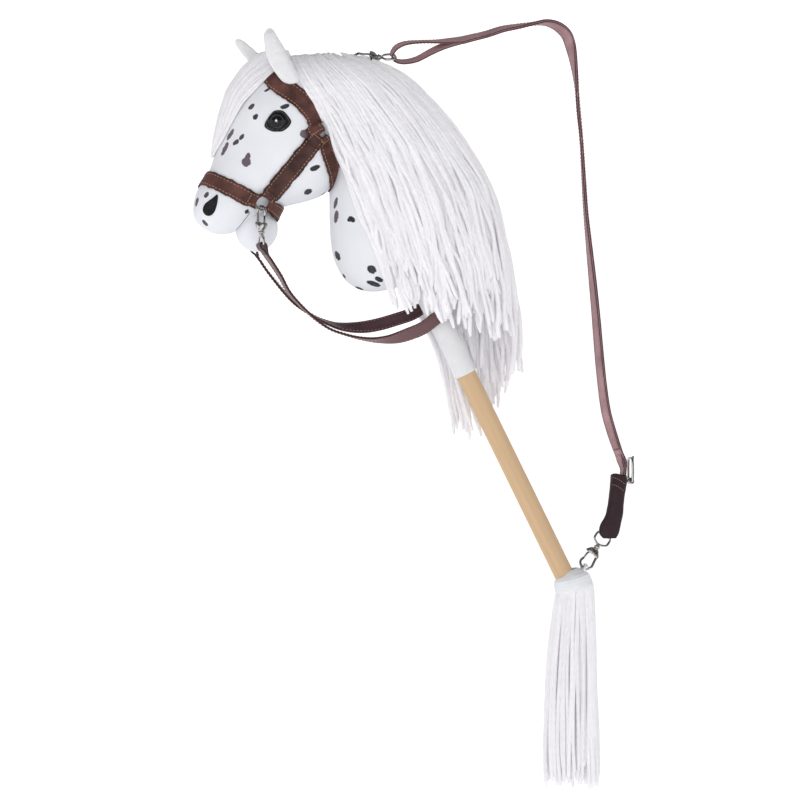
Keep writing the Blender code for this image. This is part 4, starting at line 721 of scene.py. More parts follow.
# Forelock: a fan from the poll over the forehead, in millimetres: top (x, z), bottom (x, z), half width
FORELOCK_RINGS = [
    ((-256, 468), (-250, 442), 12), ((-288, 465), (-272, 437), 21), ((-309, 446), (-292, 425), 27),
    ((-323, 425), (-309, 408), 27), ((-332, 397), (-320, 388), 23), ((-338, 368), (-329, 364), 16),
    ((-341, 350), (-336, 348), 7),
]
FORELOCK_RADIUS = 0.0017
FORELOCK_LAYERS = (38, 34, 26)          # strands in each, from the outer one in


def forelock():
    paths = []
    radii = []
    rows = [Vector((*top, *bottom)) for top, bottom, wide in FORELOCK_RINGS]
    widths = [wide for top, bottom, wide in FORELOCK_RINGS]
    for layer, count in enumerate(FORELOCK_LAYERS):
        for k in range(count):
            across = -1 + 2 * (k + draw.uniform(0.1, 0.9)) / count
            reach = draw.uniform(0.84, 1.0)
            bend = draw.uniform(-1, 1)
            made = []
            for i in range(STRAND_STEPS):
                v = i / (STRAND_STEPS - 1) * reach
                at = v * (len(rows) - 1)
                low = min(int(at), len(rows) - 2)
                part = at - low
                here = rows[low] * (1 - part) + rows[low + 1] * part
                wide = widths[low] * (1 - part) + widths[low + 1] * part
                top, bottom = mm(here[0], here[1]), mm(here[2], here[3])
                angle = across * math.pi / 2 * 0.98
                middle = (top + bottom) / 2
                point = (middle + (top - bottom) / 2 * (math.cos(angle) * 2 - 1) * (1 - 0.10 * layer)
                         + ACROSS * (wide * MM * math.sin(angle) * (1 - 0.06 * layer)))
                point += (ACROSS * (bend * 0.004 * v)
                          + UP * (math.sin(8 * v + bend * 5) * 0.0009 * (0.3 + v)))
                near, normal, _, _ = head_tree.find_nearest(point)
                if (point - near).dot(normal) < SKIN_MARGIN:
                    point = near + normal * SKIN_MARGIN
                made.append(point)
            paths.append(relaxed(np.array(made)))
            radii.append(FORELOCK_RADIUS * draw.uniform(0.85, 1.1))
    strands("forelock_strands", paths, radii, yarn, ("forelock",), reference=(0.3, 0.1, 1.0))


forelock()

# Tail: yarn bound under the band
BAND_MIDDLE = mm(65.5, -119.5)
BAND_LEAN = math.radians(17.0)
BAND_UP = Vector((-math.sin(BAND_LEAN), 0, math.cos(BAND_LEAN)))
BAND_HALF = 0.0115
BAND_RADIUS = 0.0215
# Depth below the band, middle x and radius, in millimetres
TAIL_LENGTH = 226
TAIL_ROWS = ([0, 12, 40, 80, 125, 185, TAIL_LENGTH], [68.8, 68.2, 67, 65.5, 64.5, 64.2, 65.5],
             [19, 21.5, 24, 27, 29, 31, 31])
# Strands in each layer and its share of the radius, from the outer one in
TAIL_LAYERS = ((46, 0.96), (38, 0.80), (28, 0.60), (16, 0.36), (7, 0.12))
TAIL_FLATNESS = 0.84
TAIL_SWAY = 0.16        # radians that a strand strays round the tail by its end
TAIL_STRAIGHT = 60      # millimetres below the band in which its lean fades out
TAIL_YARN = 0.0023


def tail():
    paths = []
    radii = []
    top = (BAND_MIDDLE - BAND_UP * (BAND_HALF - 0.006)).z / MM
    for layer, (count, share) in enumerate(TAIL_LAYERS):
        for k in range(count):
            turn = 2 * math.pi * (k + draw.uniform(-0.3, 0.3)) / count
            length = draw.uniform(196, TAIL_LENGTH) if layer else draw.uniform(204, TAIL_LENGTH + 1)
            sway, phase = draw.uniform(-1, 1), draw.uniform(0, 6.28)
            made = []
            for i in range(STRAND_STEPS):
                depth = length * i / (STRAND_STEPS - 1)
                middle = np.interp(depth, *TAIL_ROWS[:2])
                radius = np.interp(depth, TAIL_ROWS[0], TAIL_ROWS[2]) * share
                v = depth / TAIL_LENGTH
                angle = turn + sway * TAIL_SWAY * v + 0.05 * math.sin(6 * v + phase)
                radius += noise.noise(Vector((turn * 2.2, v * 2.0, layer * 5.0))) * 2.4 * v
                y = radius * TAIL_FLATNESS * math.sin(angle)
                lift = math.tan(BAND_LEAN) * (radius * math.cos(angle)) * max(0.0, 1 - depth / TAIL_STRAIGHT)
                made.append(mm(middle + radius * math.cos(angle), top - depth + lift, y))
            paths.append(relaxed(np.array(made)))
            radii.append(TAIL_YARN * draw.uniform(0.88, 1.12))
    strands("tail_strands", paths, radii, yarn, ("tail_yarn",))


tail()


# Leather: a strap is a grid of rows along it and columns across it, with rounded edges
CAST_FROM = 0.15
ROUNDING = 0.42         # share of its thickness that a strap's edge is rounded by
LARGEST_ROUNDING = 0.0011
SUNK = 0.0004           # how far the underside of a laid strap lies in the plush
STITCH_LENGTH = 0.0024
STITCH_STEP = 0.0040
CROSS_STITCH_STEP = 0.0032
THREAD_LIFT = 0.00030
THREAD_RADIUS = 0.00036
THREAD_REFERENCE = (0.31, 0.52, 0.8)    # a direction that no thread runs along


class Strap:
    """Rows are (points, normals) with one entry per column; free rows come from station()."""

    INNER = (-0.6, -0.2, 0.2, 0.6)

    def __init__(self, width, thickness, laid=False, uneven=0.0):
        self.uneven = uneven
        self.half = width / 2
        self.thickness = thickness
        self.laid = laid
        corner = min(ROUNDING * thickness, LARGEST_ROUNDING)
        turns = [math.radians(d) for d in (0, 32, 62, 90)]
        drop = [corner * (1 - math.sin(t)) for t in turns]
        out = [self.half - corner * (1 - math.cos(math.pi / 2 - t)) for t in turns]
        self.columns = [-u for u in out] + [self.half * 0.94 * k for k in self.INNER] + out[::-1]
        self.drops = drop + [0.0] * len(self.INNER) + drop[::-1]
        self.rows = []

    def station(self, middle, across, normal, width_share=1.0):
        """A free row: straight across."""
        points = [middle + across * (u * width_share) for u in self.columns]
        self.rows.append((points, [normal] * len(points)))

    def drape(self, origin, direction, across, tree, width_share):
        """A row laid on a form: every column is cast onto it from outside; none where one misses it."""
        points, normals = [], []
        for u in self.columns:
            start = origin + across * (u * width_share)
            hit, normal, _, _ = tree.ray_cast(start + direction * CAST_FROM, -direction)
            if hit is None:
                return
            points.append(hit)
            normals.append(normal)
        self.rows.append((points, normals))

    def finish(self, per_row=3):
        """Smooths the rows into top and bottom faces; unevenness moves the columns near the edges."""
        count = (len(self.rows) - 1) * per_row + 1
        width = len(self.columns)
        points = [smooth_path([row[0][j] for row in self.rows], count) for j in range(width)]
        normals = [smooth_path([row[1][j] for row in self.rows], count) for j in range(width)]
        self.points = np.array([[tuple(points[j][i]) for j in range(width)] for i in range(count)])
        n = np.array([[tuple(normals[j][i]) for j in range(width)] for i in range(count)])
        thick = np.linalg.norm(n, axis=2, keepdims=True)
        self.normals = n / (thick + 1e-12)
        if self.uneven:
            across = self.points[:, -1:] - self.points[:, :1]
            across /= np.linalg.norm(across, axis=2, keepdims=True) + 1e-12
            for j in range(width):
                share = (abs(self.columns[j]) / self.half) ** 4
                seed = Vector((3.1, 7.7, 1.3)) * (1 if self.columns[j] > 0 else 2)
                for i in range(count):
                    at = Vector(self.points[i, j])
                    shift = noise.noise(at * 170 + seed) + 0.6 * noise.noise(at * 420 + seed)
                    self.points[i, j] += across[i, 0] * (self.uneven * share * shift)
        drops = np.array(self.drops)[None, :, None]
        if self.laid:
            thick = np.clip(thick, 0.3, 1.0)
            self.top = self.points + self.normals * (self.thickness - drops) * thick
            self.bottom = self.points - self.normals * SUNK
        else:
            self.top = self.points + self.normals * (self.thickness / 2 - drops)
            self.bottom = self.points - self.normals * (self.thickness / 2 - drops)
        middle = self.points[:, width // 2]
        self.lengths = np.concatenate([[0], np.cumsum(np.linalg.norm(np.diff(middle, axis=0), axis=1))])
        return self

    def mesh(self, name):
        count, width, _ = self.top.shape
        ring = np.concatenate([self.top, self.bottom[:, ::-1]], axis=1)
        per_ring = 2 * width
        faces = quads(count, per_ring)
        faces.append(tuple(range(per_ring))[::-1])
        faces.append(tuple(range((count - 1) * per_ring, count * per_ring)))
        share = [start + 0.5 * j / (width - 1) for start in (0, 0.5) for j in range(width)]
        uvs = [(share[j], self.lengths[i]) for i in range(count) for j in range(per_ring)]
        mesh = mesh_of(name, ring.reshape(-1, 3), faces, uvs)
        corners = mesh.uv_layers[0].data
        for i in range(count - 1):      # the face that closes the round ends at u = 1, not back at 0
            for corner in (1, 2):
                corners[4 * (i * per_ring + per_ring - 1) + corner].uv.x = 1.0
        return mesh

    def at(self, along, across, under=False):
        """The point of a face at metres along and metres across, and the way out of it."""
        face = self.bottom if under else self.top
        row = np.interp(along, self.lengths, np.arange(len(self.lengths)))
        low = min(int(row), len(self.lengths) - 2)
        part = row - low
        line = face[low] * (1 - part) + face[low + 1] * part
        out = self.normals[low] * (1 - part) + self.normals[low + 1] * part
        point = np.array([np.interp(across, self.columns, line[:, k]) for k in range(3)])
        normal = np.array([np.interp(across, self.columns, out[:, k]) for k in range(3)])
        normal /= np.linalg.norm(normal) + 1e-12
        return point, -normal if under else normal

    def stitches(self, inset, start, end, under=False):
        """Threads along both edges."""
        made = []
        for side in (-1, 1):
            for i in range(max(int((end - start) / STITCH_STEP), 1)):
                first = start + i * STITCH_STEP
                made.append(self.thread([(first + STITCH_LENGTH * k / 4, side * (self.half - inset))
                                         for k in range(5)], under))
        return made

    def cross_stitches(self, along, inset):
        """Threads across, at one place along."""
        reach = self.half - inset
        count = max(int(2 * reach / CROSS_STITCH_STEP), 1)
        made = []
        for i in range(count):
            first = -reach + (2 * reach - count * CROSS_STITCH_STEP) / 2 + i * CROSS_STITCH_STEP
            made.append(self.thread([(along, first + STITCH_LENGTH * k / 4) for k in range(5)]))
        return made

    def thread(self, places, under=False):
        """One stitch: it comes up out of the leather and goes down into it again."""
        path = []
        for (along, across), rise in zip(places, (-0.6, 0.7, 1.0, 0.7, -0.6)):
            point, normal = self.at(along, across, under)
            path.append(point + normal * (THREAD_LIFT * rise))
        return np.array(path)


def threads(name, paths, material):
    """All the threads of one colour on the horse."""
    strands(name, paths, [THREAD_RADIUS] * len(paths), material, sides=6, reference=THREAD_REFERENCE,
            end_share=0.6)


def leather_paint(name, face, edge, rough, grain_scale, grain, worn, back=None, bloom=0.08,
                  border=(0.36, 0.46)):
    """Leather: a grained face, an edge and perhaps a back of other colours, and wear in soft clouds.

    border is where the face goes over into the edge: shares of the way from the middle to it, halved.
    """
    paint = Paint(name, face, rough, Sheen_Weight=bloom, Sheen_Roughness=0.35,
                  Sheen_Tint=(0.92, 0.72, 0.76, 1.0), Specular_IOR_Level=0.25 + 0.4 * bloom)
    parts = paint.add("ShaderNodeSeparateXYZ", Vector=paint.place("UV"))
    turned = paint.math("FRACT", paint.math("MULTIPLY", parts.outputs[0], 2.0))
    off_middle = paint.math("ABSOLUTE", paint.math("SUBTRACT", turned, 0.5))
    near_edge = paint.ramp(off_middle, *border)
    place = paint.place()
    cloud = paint.noise(place, 55.0, 4.0)
    fine = paint.noise(place, grain_scale, 3.0, 0.6)
    light = tuple(min(1.0, c * (1 + 3.2 * worn) + 0.02 * worn) for c in face)
    dark = tuple(c * (1 - 1.6 * worn) for c in face)
    colour = paint.mix(paint.ramp(paint.sum_of(cloud, 0.65, fine, 0.35), 0.33, 0.67), dark, light)
    if back is not None:
        under = paint.ramp(parts.outputs[0], 0.49, 0.51)
        colour = paint.mix(under, colour, back)
    ragged = paint.math("ADD", near_edge, paint.math("MULTIPLY", paint.math("SUBTRACT", fine, 0.5), 0.5))
    paint.colour(paint.mix(paint.ramp(ragged, 0.35, 0.8), colour, edge))
    paint.set(paint.shader, "Roughness", paint.ramp(cloud, 0.3, 0.7, rough - 0.06, rough + 0.06))
    paint.bump(paint.cells(place, grain_scale), grain, 0.00035)
    paint.bump(cloud, 0.25, 0.0012)
    return paint.material


halter_leather = leather_paint("nubuck", (0.068, 0.026, 0.021), (0.036, 0.015, 0.014), 0.8, 1300.0, 0.6, 0.42)
cheek_nubuck = leather_paint("cheek_nubuck", (0.047, 0.019, 0.016), (0.030, 0.013, 0.012), 0.8, 1300.0, 0.6,
                             0.42)
dark_leather = leather_paint("dark_leather", (0.040, 0.014, 0.020), (0.030, 0.015, 0.017), 0.42, 1100.0, 0.35,
                             0.18, back=(0.15, 0.08, 0.085), bloom=0.12)
suede = leather_paint("suede", (0.33, 0.20, 0.215), (0.050, 0.023, 0.028), 0.6, 1100.0, 0.35, 0.12,
                      bloom=0.04, border=(0.37, 0.42))
tab_leather = leather_paint("pebbled_leather", (0.022, 0.007, 0.012), (0.022, 0.008, 0.012), 0.5, 620.0, 0.9,
                            0.24, bloom=0.0)
tan_thread = Paint("tan_thread", (0.46, 0.26, 0.17), 0.7).material
dull_thread = Paint("dull_thread", (0.32, 0.17, 0.145), 0.75).material

# Halter rings and the ways in which straps leave them
RING_WIRE = 0.003
RING_MIDDLE = 0.0085    # the radius of a ring, to the middle of its wire
UPPER_WIRE = 0.0022
UPPER_MIDDLE = 0.0069
GAP = 0.0003
FOLD_LEATHER = 0.0016
FOLDED = 0.0105         # the length of each end that lies in the turn round its ring
PARED = 0.42            # share of its thickness that a strap has in the turn
TUCKED = 0.0055         # how far the hidden end runs back under the strap
LAPPED = 0.0034         # how far from the wire the strap lies flat again
FOLD_HALF = RING_WIRE / 2 + GAP + FOLD_LEATHER
HALTER_THICKNESS = 0.0020
HALTER_INSET = 0.0029   # from a strap's edge to its stitching
UNEVEN = 0.0011         # how far a halter strap's cut edges stray
LOWER_RING_AT = (-289, 298)     # in millimetres: x, z
UPPER_RING_AT = (-230, 371)


def level(x, z):
    return Vector((x, 0, z)).normalized()


NOSE_AIM = level(-57, 28.6)
NOSE_DROP = level(-28.6, -57) * 0.0030
CHEEK_AIM = level(UPPER_RING_AT[0] - LOWER_RING_AT[0], UPPER_RING_AT[1] - LOWER_RING_AT[1])
CHIN_AIM = level(0.90, -0.43)
BROW_AIM = level(-0.55, 0.83)
THROAT_AIM = level(0.77, -0.64)


def side_of_head(x, z, side):
    hit, normal, _, _ = head_tree.ray_cast(mm(x, z, side * OUTSIDE), ACROSS * -side)
    return hit, normal


def ring_place(at, side):
    widest = max(abs(side_of_head(at[0] + x, at[1] + z, side)[0].y)
                 for x, z in ((0, 0), (6, 0), (-6, 0), (0, 6)))
    return mm(*at) + ACROSS * (side * (widest + GAP + FOLD_HALF))


lower_ring = {side: ring_place(LOWER_RING_AT, side) for side in SIDES}
upper_ring = {side: ring_place(UPPER_RING_AT, side) for side in SIDES}


def fold_rows(strap, centre, aim, side, radius, wire, share, over=0.0, lift=0.0, hugs=1.0):
    """Rows that wrap a strap's end round a ring's wire, from the hidden end out, pared thin in the turn.

    share narrows the leather, over sets how far it laps over the wire, lift how far outward it lies, and
    hugs how closely it follows the ring's curve.
    """
    out = ACROSS * side
    across = aim.cross(out)
    at_wire = centre + aim * radius + out * lift
    turn_radius = wire / 2 + 0.00015
    steps = [(at_wire + aim * TUCKED - out * (turn_radius + 0.0008), -out, PARED)]
    for degrees in (-90, -45, 0, 45, 90):
        turn = math.radians(degrees)
        away = out * math.sin(turn) - aim * math.cos(turn)
        steps.append((at_wire + away * turn_radius - aim * (over * math.cos(turn)), away, PARED))
    steps.append((at_wire + aim * LAPPED + out * turn_radius, out, 0.75))
    rows = []
    for middle, normal, thick in steps:
        points = []
        for u in strap.columns:
            offset = u * share
            hug = (math.sqrt(max(radius ** 2 - (0.8 * offset) ** 2, 0.0)) - radius) * hugs
            points.append(middle + across * offset + aim * hug)
        rows.append((points, [normal * thick] * len(points)))
    return rows


def in_order(rows, neighbour):
    """Turns rows' columns round where they run against a neighbouring row's."""
    if (rows[-1][0][-1] - rows[-1][0][0]).dot(neighbour[0][-1] - neighbour[0][0]) < 0:
        return [(points[::-1], normals[::-1]) for points, normals in rows]
    return rows


def sewn(name, strap, ends, replaced, cross=0.0085, leather=halter_leather):
    """Adds the folded ends to a laid strap, and its stitching to the halter's threads."""
    strap.rows = in_order(ends[0], strap.rows[0]) + strap.rows
    strap.rows += in_order(ends[1], strap.rows[-1])[::-1]
    strap.finish()
    start, end = FOLDED, strap.lengths[-1] - FOLDED
    piece(name, strap.mesh(name), leather, replaced=replaced)
    halter_threads.extend(strap.stitches(HALTER_INSET, start, end))
    for along in (start + cross, end - cross):
        halter_threads.extend(strap.cross_stitches(along, HALTER_INSET))


def planar_fan(strap, origin, aim, first, last, count, shares=([0], [1])):
    """Rows cast from an origin in the middle plane, turning from the left side over aim to the right."""
    across = aim.cross(ACROSS)
    for i in range(count):
        turn = math.radians(first + (last - first) * i / (count - 1))
        direction = aim * math.sin(turn) - ACROSS * math.cos(turn)
        strap.drape(origin, direction, across, head_tree, float(np.interp(i, *shares)))


def side_rows(strap, path, side, shares):
    """Rows cast straight in from one side at places on a curve: x, z in millimetres."""
    count = len(path)
    for i, (x, z) in enumerate(path):
        before, after = neighbours(path, i)
        along = level(after[0] - before[0], after[1] - before[1])
        share = float(np.interp(i / (count - 1), *shares))
        strap.drape(mm(x, z), ACROSS * side, along.cross(ACROSS), head_tree, share)


halter_threads = []


def noseband():
    """The strap from one lower ring over the nose to the other one."""
    strap = Strap(0.018, HALTER_THICKNESS, True, UNEVEN)
    origin = mm(*LOWER_RING_AT) + NOSE_AIM * 0.026 + NOSE_DROP
    planar_fan(strap, origin, NOSE_AIM, -16, 196, 35, ([0, 1, 33, 34], [0.96, 1, 1, 0.96]))
    ends = [fold_rows(strap, lower_ring[side] + NOSE_DROP * 0.8, NOSE_AIM, side, RING_MIDDLE, RING_WIRE, 0.86)
            for side in SIDES]
    sewn("noseband_leather", strap, ends, ("noseband",))


def cheek_strap(side, name):
    """The strap from a lower ring to the upper one on its side, a little behind the line between them."""
    strap = Strap(0.0196, HALTER_THICKNESS, True, UNEVEN)
    beside = level(CHEEK_AIM.z, -CHEEK_AIM.x) * 0.0014
    low, high = mm(*LOWER_RING_AT) + beside, mm(*UPPER_RING_AT) + beside
    length = (high - low).length / MM
    path = []
    for i in range(15):
        point = low + CHEEK_AIM * ((13.5 + (length - 23.5) * i / 14) * MM)
        path.append((point.x / MM, point.z / MM))
    side_rows(strap, path, side, ([0, 0.1, 0.9, 1], [0.94, 1, 1, 0.94]))
    ends = [fold_rows(strap, lower_ring[side] + beside, CHEEK_AIM, side, RING_MIDDLE, RING_WIRE, 0.84),
            fold_rows(strap, upper_ring[side] + beside, -CHEEK_AIM, side, UPPER_MIDDLE, UPPER_WIRE, 0.92,
                      over=0.0055, hugs=0.0)]
    sewn(f"cheek_leather_{name}", strap, ends, (f"cheek_strap_{name}",), 0.0055, cheek_nubuck)


def over_head(name, width, path, origin, aim, ring_aim, replaced, shares, fold_share, over, lift):
    """A strap from one upper ring over or under the head to the other one."""
    strap = Strap(width, HALTER_THICKNESS, True, UNEVEN)
    points = [(p.x, p.y) for p in smooth_path([Vector((x, z, 0)) for x, z in path], 12)]
    side_rows(strap, points, LEFT, shares)
    planar_fan(strap, origin, aim, 12, 168, 25)
    backwards = ([1 - s for s in shares[0][::-1]], shares[1][::-1])
    before = len(strap.rows)
    side_rows(strap, points[::-1], RIGHT, backwards)
    strap.rows[before:] = in_order(strap.rows[before:][::-1], strap.rows[before - 1])[::-1]
    ends = [fold_rows(strap, upper_ring[side], ring_aim, side, UPPER_MIDDLE, UPPER_WIRE, fold_share, over,
                      lift, 0.0) for side in SIDES]
    sewn(name, strap, ends, replaced, 0.0055)


def chin_strap():
    """The free strap under the chin, an arc from one lower ring to the other one."""
    strap = Strap(0.0155, HALTER_THICKNESS, True, UNEVEN)
    across = CHIN_AIM.cross(ACROSS)
    wide, deep = lower_ring[RIGHT].y, 0.0262
    for i in range(13):
        turn = math.radians(24 + 132 * i / 12)
        middle = mm(*LOWER_RING_AT) + CHIN_AIM * (deep * math.sin(turn)) - ACROSS * (wide * math.cos(turn))
        normal = (CHIN_AIM * (math.sin(turn) / deep) - ACROSS * (math.cos(turn) / wide)).normalized()
        under = middle - normal * (HALTER_THICKNESS / 2)
        strap.station(under, across, normal, float(np.interp(i, [0, 2, 10, 12], [0.8, 1, 1, 0.8])))
    ends = [fold_rows(strap, lower_ring[side], CHIN_AIM, side, RING_MIDDLE, RING_WIRE, 0.9) for side in SIDES]
    sewn("chin_leather", strap, ends, ("chin_strap",))


noseband()
for side, side_name in SIDES.items():
    cheek_strap(side, side_name)
over_head("brow_leather", 0.0212,
          [(-231.5, 383), (-235.5, 394), (-245.5, 406), (-258, 416.5), (-269, 424.5), (-276, 430)],
          mm(-276, 430), level(-0.28, 0.96), BROW_AIM, ("brow_strap",), ([0, 0.3, 1], [0.95, 1, 1]), 0.86,
          0.0052, 0.0004)
over_head("throat_leather", 0.0165, [(-221.5, 361), (-218.5, 353.5), (-214, 343.5), (-210, 334)],
          mm(-213, 342), level(0.36, -0.93), THROAT_AIM, ("throat_strap",), ([0, 0.5, 1], [0.85, 1, 1]), 0.7,
          0.0, -0.0005)
chin_strap()
threads("halter_threads", halter_threads, tan_thread)


# Metal: nickel whose colour darkens in bands by the way its surface faces: painted reflections of a studio's
# dark corners
def nickel_paint(name, light, dark, rough):
    paint = Paint(name, light, rough, 1.0)
    normal = paint.add("ShaderNodeTexCoord").outputs["Normal"]
    parts = paint.add("ShaderNodeSeparateXYZ", Vector=normal)
    # Painted reflection: the base colour turns dark in bands set by the surface's direction, mixed with dull
    # patches
    bend = paint.sum_of(parts.outputs[2], 4.6, parts.outputs[0], 3.1)
    wave = paint.math("SINE", paint.math("ADD", bend, paint.math("MULTIPLY", parts.outputs[1], 2.3)))
    dull = paint.noise(paint.place(), 420.0, 3.0)
    paint.colour(paint.mix(paint.ramp(paint.sum_of(wave, 0.5, dull, 0.5), 0.0, 0.62), dark, light))
    paint.set(paint.shader, "Roughness", paint.ramp(dull, 0.3, 0.7, rough - 0.06, rough + 0.10))
    return paint.material


# The second colour of each is that of its painted reflection bands and dull patches
nickel = nickel_paint("nickel", (0.62, 0.61, 0.60), (0.10, 0.095, 0.09), 0.24)
dark_nickel = nickel_paint("dark_nickel", (0.34, 0.33, 0.32), (0.035, 0.033, 0.032), 0.30)


def joined(name, meshes):
    bm = bmesh.new()
    for mesh in meshes:
        bm.from_mesh(mesh)
    made = bpy.data.meshes.new(name)
    bm.to_mesh(made)
    bm.free()
    return made


CAP_SHARE = 0.55        # the share of a bar's radius that its end's flat has
CAP_RISE = 0.35


def tube(path, radius, sides=18, closed=False, radii=None):
    """A round bar along points, capped unless it closes on itself."""
    count = len(path)
    rings = []
    side = None
    for i, point in enumerate(path):
        before = path[(i - 1) % count] if closed or i else path[0]
        after = path[(i + 1) % count] if closed or i < count - 1 else path[-1]
        along = (after - before).normalized()
        if side is None:
            side = along.orthogonal().normalized()
        side = (side - along * side.dot(along)).normalized()
        other = along.cross(side)
        r = radius if radii is None else radii[i]
        rings.append([point + (side * math.cos(a) + other * math.sin(a)) * r for a in around(sides)])
    if closed:
        points = [p for ring in rings for p in ring]
        first, last = rings[0], rings[-1]
        shift = min(range(sides), key=lambda k: (first[k] - last[0]).length)
        faces = []
        for i in range(count):
            j = (i + 1) % count
            step = shift if j == 0 else 0
            for k in range(sides):
                k2 = (k + 1) % sides
                faces.append((i * sides + k, i * sides + k2, j * sides + (k2 + step) % sides,
                              j * sides + (k + step) % sides))
        return mesh_of("tube", points, faces)
    caps = []
    for end, inner, ring in ((path[0], path[1], rings[0]), (path[-1], path[-2], rings[-1])):
        rise = (end - inner).normalized() * radius * CAP_RISE
        caps.append([end + (p - end) * CAP_SHARE + rise for p in ring])
    return loft("tube", [caps[0]] + rings + [caps[1]])


def rounded(points, times=3):
    """Corners cut again and again, which rounds a closed path."""
    for _ in range(times):
        pairs = zip(points, points[1:] + points[:1])
        points = [a * near + b * (1 - near) for a, b in pairs for near in (0.75, 0.25)]
    return points


def rounded_plate(place, outline, low, high, bevel=0.0005):
    """A plate with softened edges in a frame: an outline in its x and y, between two heights."""
    corners = rounded([Vector((x, y, 0)) for x, y in outline], times=2)
    middle = sum(corners, Vector()) / len(corners)
    rings = []
    for height, inset in ((low, 1), (low + bevel, 0), (high - bevel, 0), (high, 1)):
        ring = []
        for p in corners:
            away = p - middle
            pulled = middle + away * (1 - inset * bevel / max(away.length, bevel))
            ring.append(place @ Vector((pulled.x, pulled.y, height)))
        rings.append(ring)
    return loft("plate", rings)


def lathe(profile, place, count):
    """A form turned about a frame's z axis from (radius, height) points."""
    return loft("lathe", [circle(place, radius, height, count) for radius, height in profile])


def frame_at(origin, x_axis, z_axis):
    """The frame with a z axis and, as near as can be, an x axis."""
    z = z_axis.normalized()
    x = (x_axis - z * x_axis.dot(z)).normalized()
    made = Matrix((x, z.cross(x), z)).transposed().to_4x4()
    made.translation = origin
    return made


def hoop(name, centre, normal, radius, wire, paint, body, replaced):
    path = circle(frame_at(centre, normal.orthogonal(), normal), radius, 0, 72)
    piece(name, tube(path, wire / 2, closed=True), paint, body, replaced)


for side, side_name in SIDES.items():
    hoop(f"lower_hoop_{side_name}", lower_ring[side], ACROSS, RING_MIDDLE, 0.0026, dark_nickel,
         f"lower_ring_{side_name}", (f"lower_ring_{side_name}",))
    hoop(f"upper_hoop_{side_name}", upper_ring[side], ACROSS, UPPER_MIDDLE, UPPER_WIRE, dark_nickel,
         f"upper_ring_{side_name}", (f"upper_ring_{side_name}",))

# Swivel snaps, in their own measures: origin at the wire held, x across the hook, y towards its crown
HOOK_WIRE = 0.0028
HOOK_RADIUS = 0.0052
HOOK_MIDDLE = HOOK_RADIUS + HOOK_WIRE / 2
HOOK_YAW = math.radians(60)     # between the wire that a hook holds and the hook's plane
CROWN_CENTRE = RING_WIRE / 2 + 0.0010 - HOOK_RADIUS
NOSE_END = -0.0062
GATE_PIVOT = (0.0044, -0.0170)
GATE_TIP = (0.0061, NOSE_END - 0.0005)
EYE_START = -0.0274
EYE_SPAN = 0.0112
EYE_WIRE = 0.0026
SNAP_EYE_WIDTH = 0.0176
PLATE_HALF = 0.0028
SLOT_HALF = 0.0015


